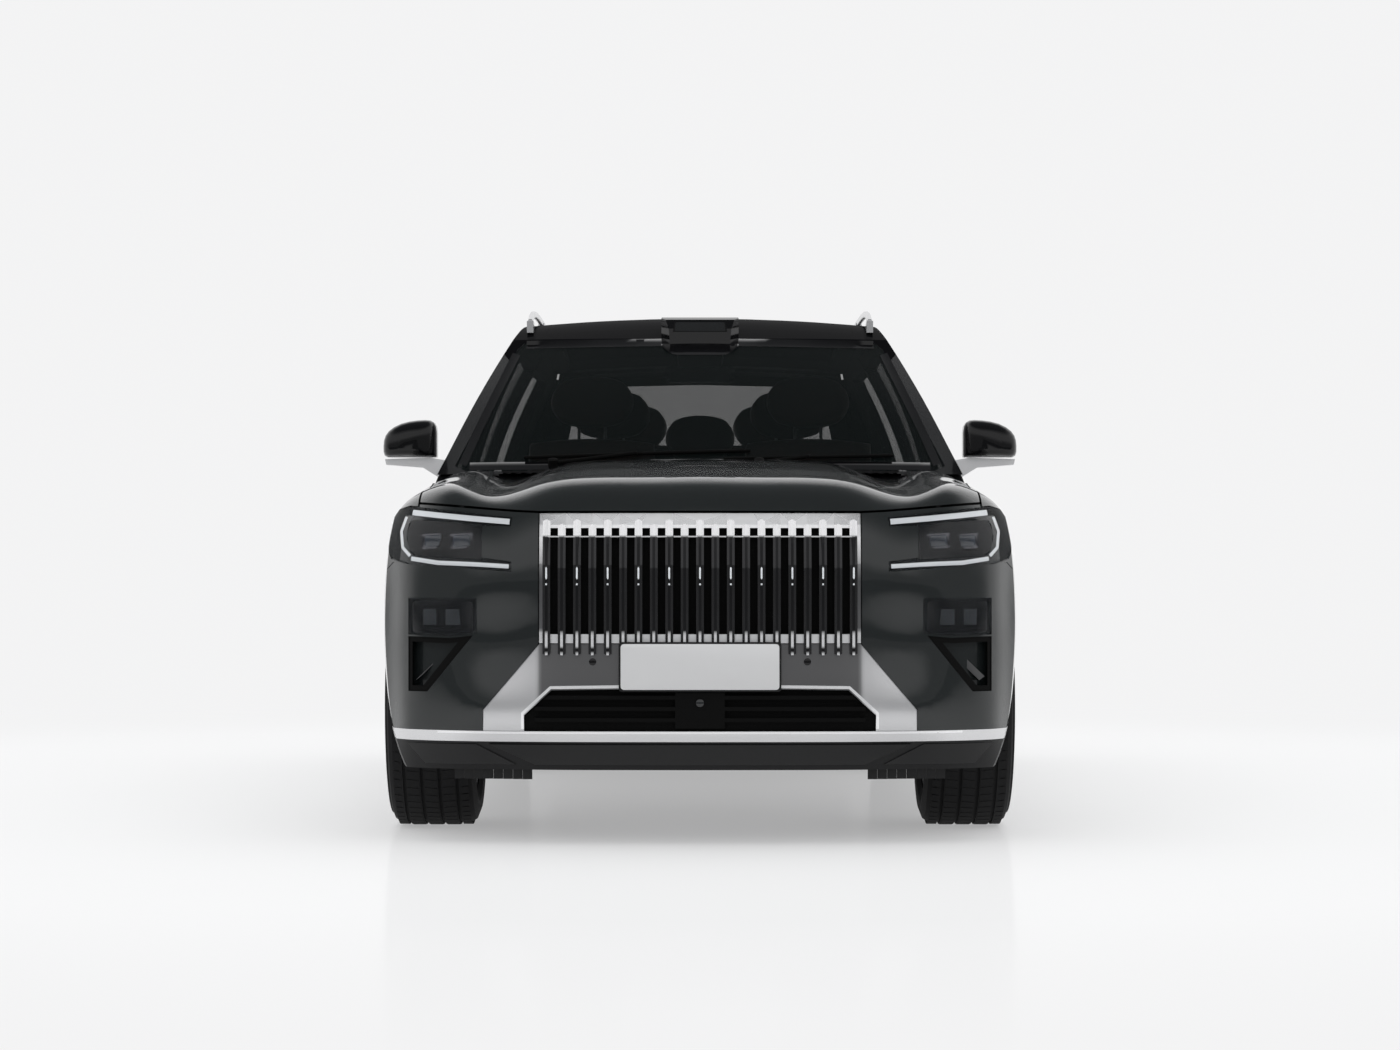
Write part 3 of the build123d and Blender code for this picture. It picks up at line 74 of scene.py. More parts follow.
class CrossoverPaint(bpy.types.PropertyGroup):
    """Colours of the main finishes."""
    body: colour("Body paint", "Clear-coated graphite of the panels", (0.0095, 0.0118, 0.0122))
    lower: colour("Lower body", "Grained plastic below the panels", (0.0045, 0.0045, 0.005))
    silver: colour("Satin silver", "Paint of the intake surround", (0.62, 0.62, 0.63))
    bright: colour("Bright metal", "Polished trim", (0.9, 0.9, 0.91))
    # bar: dark chrome standing in for the dark studio reflected in the chrome bars, a painted reflection
    bar: colour("Bar flanks", "Dark chrome of the grille bars", (0.045, 0.045, 0.047))
    hide: colour("Seat hide", "Dark red-brown leather", (0.045, 0.014, 0.011))
    dash: colour("Dash leather", "Leather of the dash and door linings", (0.014, 0.012, 0.012))
    rubber: colour("Tyre rubber", "Tread and side walls", (0.008, 0.008, 0.0085))
    alloy: colour("Wheel alloy", "Machined faces of the wheels", (0.42, 0.43, 0.44))
    glass: colour("Window tint", "Tint of the side and screen glass", (0.004, 0.006, 0.006))


class CrossoverSizes(bpy.types.PropertyGroup):
    """Sizes of the fitted pieces."""
    plate_width: length("Plate width", "Width of the number plates", 0.48)
    plate_height: length("Plate height", "Height of the number plates", 0.14)
    trim_width: length("Window trim width", "Width of the bright line under the side glass", 0.011)
    tread_pitch: IntProperty(name="Tread blocks", description="Blocks round each tyre rib", default=72, min=24)
    bolt_circle: length("Wheel bolt circle", "Diameter through the wheel bolts", 0.12)
    seam: length("Seam width", "Width of the stitched channels of the seats", 0.006)


class CrossoverStage(bpy.types.PropertyGroup):
    """Floor, backdrop and camera."""
    floor: colour("Floor", "Pale floor", (0.86, 0.86, 0.86))
    backdrop: colour("Backdrop", "Pale studio behind the car", (0.9, 0.9, 0.905))
    dusk: colour("Unlit walls", "Studio before the nose and overhead, as reflections show it", (0.13, 0.135, 0.14))
    camera_distance: length("Camera distance", "Camera to the middle of the car", 13.42)
    camera_height: length("Camera height", "Camera above the floor", 0.846)


def settings():
    """The three groups of sizes and colours."""
    scene = bpy.context.scene
    return scene.crossover_paint, scene.crossover_sizes, scene.crossover_stage


# --- finishes ---
BELT = 1.1285       # height at which the body paint ends
RAMP_SCALE = 0.5    # a colour ramp runs from 0 to 1, and the car is taller than 1 m
GRAIN_DEPTH = 0.001
INK = (0.003, 0.003, 0.0035)
# near black of the chassis, also the painted dark reflection down the middle of the grille bar ridges
NEAR_BLACK_AND_PAINTED_REFLECTION = (0.012, 0.012, 0.013)
# dull metal of the castings, also the painted dark reflection across the middle of the grille frame
DULL_METAL_AND_PAINTED_REFLECTION = (0.16, 0.16, 0.165)
CLEAR_COAT = {"Specular IOR Level": 0.1, "Coat Weight": 1.0, "Coat Roughness": 0.02}

# colour (see shade), roughness, metallic and the shader's other sockets
FINISHES = {
    "body_paint": ("body", 0.45, 0.0, CLEAR_COAT),
    "shell_paint": ("body", 0.45, 0.0, CLEAR_COAT),
    "gloss_black": (INK, 0.06, 0.0, {"Specular IOR Level": 0.35}),
    "matt_black": ((0.003, 0.003, 0.003), 0.8, 0.0, {"Specular IOR Level": 0.1}),
    "black_plastic": ("lower", 0.5, 0.0, {"Specular IOR Level": 0.3}),
    "satin_silver": ("silver", 0.3, 0.9, {"Coat Weight": 0.3, "Coat Roughness": 0.1}),
    "surround_satin": (("silver", 0.25), 0.3, 0.9, {}),
    "bright_metal": ("bright", 0.28, 0.7, {}),
    "blade_metal": ((0.7, 0.7, 0.71), 0.22, 1.0, {}),
    # the three grille finishes below carry painted highlights and a painted reflection, in bands by height set in ZONES
    "frame_chrome": ("bright", 0.28, 0.7, {}),
    "bar_sides": ("bar", 0.25, 0.8, {}),
    "bar_ridge": ("bright", 0.28, 0.7, {}),
    "vane_grey": ((0.06, 0.06, 0.062), 0.4, 0.0, {}),
    "window_glass": ("glass", 0.01, 0.0, {"Alpha": 0.45, "Specular IOR Level": 0.12}),
    "door_glass": ("glass", 0.01, 0.0, {"Alpha": 0.7, "Specular IOR Level": 0.25}),
    "rear_glass": ("glass", 0.01, 0.0, {"Alpha": 0.42, "Specular IOR Level": 0.2}),
    "roof_pane": (INK, 0.3, 0.0, {"Specular IOR Level": 0.0, "Coat Weight": 0.05, "Coat Roughness": 0.05}),
    "lamp_lens": ((0.05, 0.055, 0.06), 0.01, 0.0, {"Alpha": 0.16}),
    "light_guide": ((0.82, 0.85, 0.88), 0.22, 0.1, {"Coat Weight": 1.0}),
    "red_lens": ((0.2, 0.004, 0.006), 0.05, 0.0, {"Coat Weight": 1.0}),
    "lamp_chrome": ((0.12, 0.12, 0.13), 0.2, 1.0, {}),
    "projector_glass": ((0.03, 0.035, 0.045), 0.02, 0.0, {"Coat Weight": 1.0}),
    "cell_glass": ((0.03, 0.033, 0.037), 0.08, 0.0, {"Coat Weight": 0.6}),
    "mirror_silver": ((0.6, 0.62, 0.63), 0.02, 1.0, {}),
    "tyre_rubber": ("rubber", 0.75, 0.0, {"Specular IOR Level": 0.25}),
    "wheel_alloy": ("alloy", 0.25, 1.0, {"Coat Weight": 0.4}),
    "cast_metal": (DULL_METAL_AND_PAINTED_REFLECTION, 0.5, 0.8, {}),
    "chassis_black": (NEAR_BLACK_AND_PAINTED_REFLECTION, 0.5, 0.0, {}),
    "brake_steel": ((0.35, 0.35, 0.36), 0.35, 1.0, {}),
    "seat_hide": ("hide", 0.48, 0.0, {"Sheen Weight": 0.1}),
    "dash_hide": ("dash", 0.5, 0.0, {}),
    "cabin_lining": ((0.012, 0.011, 0.011), 0.8, 0.0, {"Specular IOR Level": 0.1}),
    "carpet": ((0.01, 0.01, 0.011), 0.95, 0.0, {}),
    "screen_black": ((0.003, 0.004, 0.005), 0.04, 0.0, {"Coat Weight": 0.4}),
    "plate_white": ((0.6, 0.6, 0.605), 0.3, 0.0, {}),
}

# scale of the grain and strength of its bump
GRAINS = {"black_plastic": (900, 0.2), "tyre_rubber": (500, 0.3), "cast_metal": (300, 0.3),
          "chassis_black": (200, 0.3), "seat_hide": (700, 0.35), "dash_hide": (700, 0.35), "carpet": (1500, 0.6)}

# axis, then the colour at each height, or at each distance from the middle of the car
ZONES = {
    "shell_paint": ("Z", ((BELT - 0.0005, "body"), (BELT + 0.0005, INK))),
    # grille bars and frame: the bright bands at their tops and bottoms are painted highlights, and their dark middles a
    # painted reflection of the dark studio
    "bar_sides": ("Z", ((0.930, "bar"), (0.934, "bright"))),
    "bar_ridge": ("Z", ((0.578, "bright"), (0.580, NEAR_BLACK_AND_PAINTED_REFLECTION), (0.596, NEAR_BLACK_AND_PAINTED_REFLECTION), (0.598, "bright"), (0.640, "bright"),
                        (0.642, NEAR_BLACK_AND_PAINTED_REFLECTION), (0.931, NEAR_BLACK_AND_PAINTED_REFLECTION), (0.933, "bright"))),
    "frame_chrome": ("Z", ((0.640, "bright"), (0.652, DULL_METAL_AND_PAINTED_REFLECTION), (0.800, DULL_METAL_AND_PAINTED_REFLECTION), (0.932, "bright"))),
    "surround_satin": ("X", ((0.482, ("silver", 0.25)), (0.494, "silver"))),
}


class Graph:
    """Shader nodes of a material or a world."""

    def __init__(self, owner):
        owner.use_nodes = True
        self.nodes = owner.node_tree.nodes
        self.links = owner.node_tree.links

    def feed(self, socket, value):
        """Link an output to a socket, or set the socket to a value."""
        if isinstance(value, bpy.types.NodeSocket):
            self.links.new(value, socket)
        else:
            socket.default_value = value

    def node(self, kind, inputs=None, **attributes):
        """A new node; inputs maps its sockets to values or outputs."""
        made = self.nodes.new("ShaderNode" + kind)
        for name, value in attributes.items():
            setattr(made, name, value)
        for socket, value in (inputs or {}).items():
            self.feed(made.inputs[socket], value)
        return made

    def math(self, operation, first, second=0.0):
        return self.node("Math", {0: first, 1: second}, operation=operation).outputs[0]

    def ramp(self, value, start, end):
        """0 at start and 1 at end, smooth between."""
        return self.node("MapRange", {"Value": value, "From Min": start, "From Max": end},
                         interpolation_type="SMOOTHSTEP").outputs["Result"]

    def place(self, space):
        """Object gives the place of a point, Generated in a world the direction of a ray."""
        return self.node("TexCoord").outputs[space]

    def axes(self, space):
        return self.node("SeparateXYZ", {"Vector": self.place(space)}).outputs

    def rays(self, *kinds):
        """1 for rays of these kinds."""
        path = self.node("LightPath").outputs
        found = path[f"Is {kinds[0]} Ray"]
        for kind in kinds[1:]:
            found = self.math("MAXIMUM", found, path[f"Is {kind} Ray"])
        return found

    def mixed(self, share, first, second):
        return self.node("MixShader", {"Fac": share, 1: first, 2: second}).outputs["Shader"]

    def studio(self, share):
        """Colour of the studio, from its backdrop at 0 to its unlit walls at 1."""
        stage = settings()[2]
        return self.node("Mix", {"A": (*stage.backdrop, 1), "B": (*stage.dusk, 1), "Factor": share},
                         data_type="RGBA").outputs["Result"]


def shade(value):
    """A colour from three numbers, the name of a paint setting, or such a name and a share of it."""
    if isinstance(value, str):
        return tuple(getattr(settings()[0], value))
    if len(value) == 2:
        return tuple(value[1] * part for part in getattr(settings()[0], value[0]))
    return value


def finish(name):
    """The material of a name in FINISHES, made when first asked for."""
    if name in bpy.data.materials:
        return bpy.data.materials[name]
    base, roughness, metallic, more = FINISHES[name]
    made = bpy.data.materials.new(name)
    graph = Graph(made)
    shader = graph.nodes["Principled BSDF"]
    sockets = {"Base Color": (*shade(base), 1), "Roughness": roughness, "Metallic": metallic, **more}
    for socket, value in sockets.items():
        graph.feed(shader.inputs[socket], value)
    if name in GRAINS:
        scale, strength = GRAINS[name]
        noise = graph.node("TexNoise", {"Scale": scale, "Detail": 3, "Vector": graph.place("Object")})
        bump = graph.node("Bump", {"Strength": strength, "Distance": GRAIN_DEPTH, "Height": noise.outputs["Fac"]})
        graph.feed(shader.inputs["Normal"], bump.outputs["Normal"])
    if name in ZONES:
        axis, stops = ZONES[name]
        distance = graph.math("ABSOLUTE", graph.axes("Object")[axis])
        ramp = graph.node("ValToRGB", {"Fac": graph.math("MULTIPLY", distance, RAMP_SCALE)})
        first, *between, last = [(place * RAMP_SCALE, (*shade(value), 1)) for place, value in stops]
        elements = ramp.color_ramp.elements
        for element, stop in ((elements[0], first), (elements[1], last)):
            element.position, element.color = stop
        for place, value in between:
            elements.new(place).color = value
        graph.feed(shader.inputs["Base Color"], ramp.outputs["Color"])
    return made


SEEN = ("Camera", "Glossy", "Transmission")   # the rays by which the studio is seen
# start and end of each smooth step: of a ray's direction towards the nose, down and up, and of distance in metres
RAY_AHEAD, RAY_LOW, RAY_UP, WALL_SHARE = (-0.25, 0.3), (-0.24, -0.06), (0.5, 0.85), 0.8
FLOOR_DIM, FLOOR_FADE = (3.0, 8.0), (2.5, 8.0)


def dim_walls(graph):
    """How far a reflected ray sees the unlit ends of the studio: low before the nose, and the ceiling."""
    axes = graph.axes("Generated")
    ahead = graph.ramp(graph.math("MULTIPLY", axes["Y"], -1.0), *RAY_AHEAD)
    low = graph.ramp(graph.math("MULTIPLY", axes["Z"], -1.0), *RAY_LOW)
    ceiling = graph.ramp(axes["Z"], *RAY_UP)
    wall = graph.math("MULTIPLY", graph.math("MULTIPLY", ahead, low), WALL_SHARE)
    return graph.math("MULTIPLY", graph.math("MAXIMUM", wall, ceiling), graph.rays("Glossy"))


def stage_white():
    """Pale floor with a weak even sheen, fading into the backdrop away from the car."""
    sheen, sheen_roughness, least_fade = 0.16, 0.12, 0.4
    made = bpy.data.materials.new("stage_white")
    graph = Graph(made)
    graph.nodes.remove(graph.nodes["Principled BSDF"])
    matt = graph.node("BsdfDiffuse", {"Color": (*settings()[2].floor, 1)}).outputs["BSDF"]
    glossy = graph.node("BsdfGlossy", {"Roughness": sheen_roughness}).outputs["BSDF"]
    ahead = graph.ramp(graph.math("MULTIPLY", graph.axes("Object")["Y"], -1.0), *FLOOR_DIM)
    tone = graph.studio(graph.math("MULTIPLY", ahead, graph.rays("Glossy")))
    far = graph.node("Emission", {"Color": tone}).outputs["Emission"]
    away = graph.node("VectorMath", {0: graph.place("Object")}, operation="LENGTH").outputs["Value"]
    share = graph.math("MAXIMUM", graph.ramp(away, *FLOOR_FADE), least_fade)
    seen = graph.math("MULTIPLY", share, graph.rays(*SEEN))
    surface = graph.mixed(seen, graph.mixed(sheen, matt, glossy), far)
    graph.feed(graph.nodes["Material Output"].inputs["Surface"], surface)
    return made


# --- mesh helpers ---
HAIR = 0.0001   # radius at the end of a turned solid


class Heap:
    """Vertices and faces of several like solids, gathered into one piece."""

    def __init__(self):
        self.vertices = []
        self.faces = []

    def add(self, vertices, faces):
        start = len(self.vertices)
        self.vertices += [Vector(v) for v in vertices]
        self.faces += [tuple(start + i for i in face) for face in faces]
        return self

    def loft(self, rings, closed=False):
        """Skin over rings of equal length, with end caps unless it closes on itself."""
        count = len(rings[0])
        flat = [point for ring in rings for point in ring]
        faces = []
        for r in range(len(rings) if closed else len(rings) - 1):
            a, b = r * count, (r + 1) % len(rings) * count
            faces += [(a + i, a + (i + 1) % count, b + (i + 1) % count, b + i) for i in range(count)]
        if not closed:
            faces += [tuple(range(count))[::-1], tuple((len(rings) - 1) * count + i for i in range(count))]
        return self.add(flat, faces)

    def box(self, low, high, bevel=0.0):
        """Box between two corners, its upright edges cut back by bevel."""
        (x0, y0, z0), (x1, y1, z1) = low, high
        b = bevel
        outline = [(x0 + b, y0), (x1 - b, y0), (x1, y0 + b), (x1, y1 - b), (x1 - b, y1), (x0 + b, y1), (x0, y1 - b),
                   (x0, y0 + b)] if b else [(x0, y0), (x1, y0), (x1, y1), (x0, y1)]
        return self.loft([[(x, y, z) for x, y in outline] for z in (z0, z1)])

    def turned(self, centre, axis, profile, count):
        """Revolve (along, radius) pairs round an axis."""
        axis = Vector(axis).normalized()
        side = axis.orthogonal().normalized()
        other = axis.cross(side)
        rings = []
        for k in range(count):
            angle = math.tau * k / count
            out = side * math.cos(angle) + other * math.sin(angle)
            rings.append([Vector(centre) + axis * along + out * radius for along, radius in profile])
        return self.loft(rings, closed=True)

    def knob(self, centre, axis, profile, tip, count):
        """Turned solid, closed at its foot and, at tip along its axis, at its head."""
        return self.turned(centre, axis, [(profile[0][0], HAIR), *profile, (tip, HAIR)], count)

    def tube(self, path, radius, count=10):
        """Round bar along a path."""
        rings = []
        for k, point in enumerate(path):
            ahead = Vector(path[min(k + 1, len(path) - 1)]) - Vector(path[max(k - 1, 0)])
            ahead.normalize()
            side = ahead.cross(Vector((0.13, 0.21, 0.97))).normalized()
            up = side.cross(ahead)
            rings.append([Vector(point) + (side * math.cos(a) + up * math.sin(a)) * radius
                          for a in (math.tau * i / count for i in range(count))])
        return self.loft(rings)

    def keep(self, name, look, body="body", smooth=35.0):
        """Mesh object with a finish that rides on a body, smooth up to an angle in degrees."""
        mesh = bpy.data.meshes.new(name)
        mesh.from_pydata([tuple(v) for v in self.vertices], [], self.faces)
        form = bmesh.new()
        form.from_mesh(mesh)
        bmesh.ops.remove_doubles(form, verts=form.verts, dist=1e-6)
        bmesh.ops.recalc_face_normals(form, faces=form.faces)
        form.to_mesh(mesh)
        form.free()
        mesh.materials.append(finish(look))
        mesh.shade_smooth()
        mesh.set_sharp_from_angle(angle=math.radians(smooth))
        made = bpy.data.objects.new(name, mesh)
        bpy.context.scene.collection.objects.link(made)
        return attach(made, body)


class Skin:
    """Surface of some CAD nodes, to lay pieces on."""

    def __init__(self, *nodes):
        vertices, polygons = [], []
        for node in nodes:
            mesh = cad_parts[node].data
            start = len(vertices)
            vertices += [v.co.copy() for v in mesh.vertices]
            polygons += [[start + i for i in p.vertices] for p in mesh.polygons]
        self.tree = BVHTree.FromPolygons(vertices, polygons)

    def hit(self, origin, direction):
        """First point of the surface from an origin along a direction, or None."""
        return self.tree.ray_cast(Vector(origin), Vector(direction))[0]


# start and direction of the rays of each view
LOOK = {"front": ((0, -4, 0), (0, 1, 0)), "rear": ((0, 4, 0), (0, -1, 0)),
        "left": ((3, 0, 0), (-1, 0, 0)), "right": ((-3, 0, 0), (1, 0, 0)), "top": ((0, 0, 3), (0, 0, -1)),
        "inside_left": ((0, 0, 0), (1, 0, 0)), "inside_right": ((0, 0, 0), (-1, 0, 0)),
        "floor": ((0, 0, 1.1), (0, 0, -1)), "screen_inside": ((0, 0.1, 0), (0, -1, 0))}
PLAN_VIEWS = ("top", "floor")
END_VIEWS = ("front", "rear", "screen_inside")
EDGE_REACH = (0.0, 0.004, 0.008, 0.014, 0.022)   # how far past an edge a point may lie


def seen_from(view, u, v):
    """Start of a ray for a view: u, v are (x, z) from the ends, (y, z) from the sides and (x, y) from above."""
    origin, direction = LOOK[view]
    if view in END_VIEWS:
        return Vector((u, origin[1], v)), Vector(direction)
    if view in PLAN_VIEWS:
        return Vector((u, v, origin[2])), Vector(direction)
    return Vector((origin[0], u, v)), Vector(direction)


def lay_point(skin, view, u, v, lift=0.0):
    """A point of the surface moved towards the viewer by lift; just past an edge it takes the nearest point."""
    origin, direction = seen_from(view, u, v)
    for away in EDGE_REACH:
        for du, dv in ((0, 0),) if not away else ((away, 0), (-away, 0), (0, away), (0, -away)):
            near, _ = seen_from(view, u + du, v + dv)
            found = skin.hit(near, direction)
            if found:
                return found - direction * lift + (origin - near)
    raise RuntimeError(f"no surface under {view} {u:.3f}, {v:.3f}")


def ribbon(heap, skin, view, path, width, lift, thick, crown=0.0):
    """Strip of a width laid along a path on a surface; crown raises its middle."""
    rings = []
    for k, (u, v) in enumerate(path):
        du = path[min(k + 1, len(path) - 1)][0] - path[max(k - 1, 0)][0]
        dv = path[min(k + 1, len(path) - 1)][1] - path[max(k - 1, 0)][1]
        size = math.hypot(du, dv)
        across = (-dv / size, du / size)
        points = [(u + across[0] * width * share, v + across[1] * width * share) for share in (-0.5, 0.0, 0.5)]
        lifts = (lift, lift + crown, lift)
        rings.append([lay_point(skin, view, *point, rise) for point, rise in zip(points, lifts)]
                     + [lay_point(skin, view, *point, lift - thick) for point in reversed(points)])
    return heap.loft(rings)


def strip(name, look, body, skin, view, path, width, lift, thick, crown=0.0):
    """A single ribbon as a piece of its own."""
    heap = Heap()
    ribbon(heap, skin, view, path, width, lift, thick, crown)
    return heap.keep(name, look, body)


def dense(path, step):
    """Points along a polyline no further apart than step."""
    out = []
    for (u0, v0), (u1, v1) in zip(path, path[1:]):
        count = max(1, math.ceil(math.hypot(u1 - u0, v1 - v0) / step))
        out += [(u0 + (u1 - u0) * i / count, v0 + (v1 - v0) * i / count) for i in range(count)]
    return out + [tuple(path[-1])]


def level(start, end, height, step):
    """Points along a level line."""
    return dense([(start, height), (end, height)], step)


def sided(path, half):
    """A path of the car's left side, or its mirror image where half is -1."""
    return [(half * u, v) for u, v in path]


def rounded(outline, radius, steps=5):
    """Outline with its corners replaced by arcs."""
    out = []
    count = len(outline)
    for k, corner in enumerate(outline):
        here = Vector(corner)
        before = Vector(outline[k - 1]) - here
        after = Vector(outline[(k + 1) % count]) - here
        reach = min(radius, before.length * 0.45, after.length * 0.45)
        start = here + before.normalized() * reach
        end = here + after.normalized() * reach
        for i in range(steps + 1):
            t = i / steps
            out.append(tuple(start * (1 - t) ** 2 + here * 2 * t * (1 - t) + end * t ** 2))
    return out


def oblong(low, high):
    """Corners of an upright rectangle."""
    return [tuple(low), (high[0], low[1]), tuple(high), (low[0], high[1])]


def patch(heap, skin, view, outline, lift, thick, step=0.03):
    """Panel of a thickness laid on a surface inside a closed outline."""
    edge = dense(list(outline) + [outline[0]], step)[:-1]
    points = [Vector(p) for p in edge]
    low = Vector((min(p.x for p in points), min(p.y for p in points)))
    high = Vector((max(p.x for p in points), max(p.y for p in points)))
    columns = max(1, int((high.x - low.x) / step))
    rows = max(1, int((high.y - low.y) / step))
    inner = [Vector((low.x + (i + 0.5) * (high.x - low.x) / columns, low.y + (j + 0.5) * (high.y - low.y) / rows))
             for i in range(columns) for j in range(rows)]
    count = len(points)
    made = delaunay_2d_cdt(points + inner, [(i, (i + 1) % count) for i in range(count)], [list(range(count))], 1, 1e-6)
    flat, triangles = made[0], made[2]
    outer = [lay_point(skin, view, p.x, p.y, lift) for p in flat]
    under = [lay_point(skin, view, p.x, p.y, lift - thick) for p in flat]
    total = len(flat)
    uses = {}
    for face in triangles:
        for i in range(len(face)):
            pair = (face[i], face[(i + 1) % len(face)])
            uses[frozenset(pair)] = None if frozenset(pair) in uses else pair
    faces = [tuple(face) for face in triangles] + [tuple(total + i for i in reversed(face)) for face in triangles]
    faces += [(pair[1], pair[0], total + pair[0], total + pair[1]) for pair in uses.values() if pair]
    return heap.add(outer + under, faces)


# --- the CAD nodes ---
BAR_COUNT = 21
BAR_PITCH = 0.0464
RIDGE_HALF = 0.0042
BAR_HALF = 0.0121
ROOF_EDGE = 1.60
CABIN_FLOOR, CABIN_HALF = 0.39, 0.93

# starts of the names of the CAD nodes that have a finish; the first match counts
NODE_FINISHES = {
    "window_glass": ("fixed_glass",), "roof_pane": ("roof_glass",), "rear_glass": ("tailgate_glass",),
    "door_glass": ("door_front_glass", "door_rear_glass"), "lamp_lens": ("front_lamps",),
    "shell_paint": ("body_shell", "tailgate", "door_"),
    "body_paint": ("front_fenders", "front_bumper", "bonnet", "rear_bumper"),
    "black_plastic": ("lower_cladding",), "blade_metal": ("bright_trim",), "surround_satin": ("grille_surround",),
    "frame_chrome": ("grille_bars",), "matt_black": ("intake_grille",), "red_lens": ("side_tail_lamps", "tail_lamp"),
    "gloss_black": ("sensor_pod", "mirror_"), "cast_metal": ("powertrain_blocks", "knuckle_"),
    "chassis_black": ("front_subframe", "rear_subframe"), "dash_hide": ("dashboard", "steering_wheel"),
    "seat_hide": ("front_seats", "rear_seats"), "tyre_rubber": ("tyre_",), "wheel_alloy": ("rim_",),
}


def shell_zone(polygon):
    """1 for the inner walls of the cabin, which face its middle, 2 for the top of the roof and 0 for the rest."""
    middle, facing = polygon.center, polygon.normal
    inside = -1.2 < middle.y < 2.5 and middle.z > CABIN_FLOOR and abs(middle.x) < CABIN_HALF
    if inside and (facing.x * middle.x < -0.25 * abs(middle.x) or facing.z * (1.0 - middle.z) > 0.1
                   or facing.y * (0.4 - middle.y) > 0.9):
        return 1
    return 2 if middle.z > ROOF_EDGE and facing.z > 0.6 else 0


def bar_zone(polygon):
    """0 for the grille frame, 1 for the flanks of a bar and 2 for the front of its ridge."""
    place = polygon.center.x / BAR_PITCH
    across = abs(place - round(place)) * BAR_PITCH
    if across > BAR_HALF or abs(place) > BAR_COUNT / 2:
        return 0
    return 2 if across < RIDGE_HALF and polygon.normal.y < -0.7 else 1


# nodes of a finish that have two more, and which of the three a face takes
FACE_ZONES = {"shell_paint": (shell_zone, ("cabin_lining", "roof_pane")),
              "frame_chrome": (bar_zone, ("bar_sides", "bar_ridge"))}


class CROSSOVER_OT_finishes(bpy.types.Operator):
    """Give every CAD node its finish"""
    bl_idname = "crossover.finishes"
    bl_label = "Finishes"

    def execute(self, context):
        for plain in list(bpy.data.materials):
            plain.name = f"cad_{plain.name}"
        for name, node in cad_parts.items():
            look = next(look for look, starts in NODE_FINISHES.items() if name.startswith(starts))
            zone, more = FACE_ZONES.get(look, (None, ()))
            mesh = node.data
            mesh.materials.clear()
            for made in (look, *more):
                mesh.materials.append(finish(made))
            if zone:
                for polygon in mesh.polygons:
                    polygon.material_index = zone(polygon)
        return {"FINISHED"}


# --- nose ---
MESH_ROWS, MESH_PITCH, MESH_LOW, MESH_HALF, MESH_WIRE = 28, 0.0112, 0.645, 0.468, 0.004
GEMS = ((0.8215, 0.0185), (0.788, 0.003))   # height of the middle and half length
GEM_HALF, GEM_DEPTH, GEM_SINK = 0.0038, 0.0022, 0.001
GEM_SECTIONS = ((-1.0, 0.4), (-0.8, 1.0), (0.8, 1.0), (1.0, 0.4))   # share of the length, share of the width
SENSOR_X, SENSOR_Z = 0.324, 0.554
BLADE_LINE = (-0.80, 0.80, 0.339)
INTAKE_EDGE = ((0.530, 0.345), (0.530, 0.392), (0.446, 0.470), (0.0, 0.4765), (-0.446, 0.470), (-0.530, 0.392),
               (-0.530, 0.345))


class CROSSOVER_OT_grille(bpy.types.Operator):
    """Mesh behind the grille bars, gems, parking sensors and the bright lines of the blade and the intake"""
    bl_idname = "crossover.grille"
    bl_label = "Grille"

    def execute(self, context):
        plate, bars, surround = Skin("intake_grille"), Skin("grille_bars"), Skin("grille_surround")
        mesh, gems, sensors = Heap(), Heap(), Heap()
        for row in range(MESH_ROWS):
            wire = level(-MESH_HALF, MESH_HALF, MESH_LOW + row * MESH_PITCH, 0.06)
            ribbon(mesh, plate, "front", wire, MESH_WIRE, 0.003, 0.003)
        mesh.keep("grille_mesh", "matt_black")
        for index in range(0, BAR_COUNT, 2):
            x = (index - (BAR_COUNT - 1) / 2) * BAR_PITCH
            for middle, reach in GEMS:
                rings = []
                for share, wide in GEM_SECTIONS:
                    face = lay_point(bars, "front", x, middle + share * reach)
                    rings.append([(x - GEM_HALF * wide, face.y + GEM_SINK, face.z),
                                  (x, face.y - GEM_DEPTH * wide, face.z),
                                  (x + GEM_HALF * wide, face.y + GEM_SINK, face.z)])
                gems.loft(rings)
        gems.keep("grille_gems", "light_guide", smooth=20)
        for x in (-SENSOR_X, SENSOR_X):
            sensors.knob(lay_point(surround, "front", x, SENSOR_Z), (0, -1, 0),
                         [(-0.004, 0.011), (0.0012, 0.011), (0.002, 0.009)], 0.002, 24)
        sensors.keep("front_parking_sensors", "gloss_black")
        strip("blade_edge_line", "bright_metal", "body", Skin("bright_trim"), "front", level(*BLADE_LINE, 0.03),
              0.007, 0.0006, 0.001)
        strip("intake_lip", "bright_metal", "body", surround, "front",
              [(u * 1.012, v + 0.006) for u, v in dense(INTAKE_EDGE, 0.03)], 0.009, 0.003, 0.006)
        return {"FINISHED"}


# path, spacing of its points, width, thickness and crown
GUIDES = ((((0.578, 0.9775), (0.70, 0.988), (0.80, 0.998), (0.885, 1.008)), 0.02, 0.017, 0.008, 0.0015),
          (((0.578, 0.842), (0.68, 0.848), (0.80, 0.853), (0.885, 0.866)), 0.02, 0.013, 0.008, 0.0015),
          (((0.889, 0.874), (0.915, 0.90), (0.921, 0.95), (0.905, 0.995)), 0.015, 0.010, 0.006, 0.001))
GUIDE_LIFT, BEZEL_LIFT, UNIT_LIFT, PANEL_LIFT, CELL_LIFT = -0.003, -0.020, -0.016, -0.014, -0.011   # behind the cover
BEZEL = ((0.660, 0.862), (0.885, 0.876), (0.905, 0.93), (0.895, 0.985), (0.660, 0.972))
UNIT_OUTLINE = ((-0.036, -0.026), (0.036, -0.022), (0.036, 0.026), (-0.036, 0.022))
UNIT_PLACES, UNIT_Z = (0.725, 0.815), 0.92
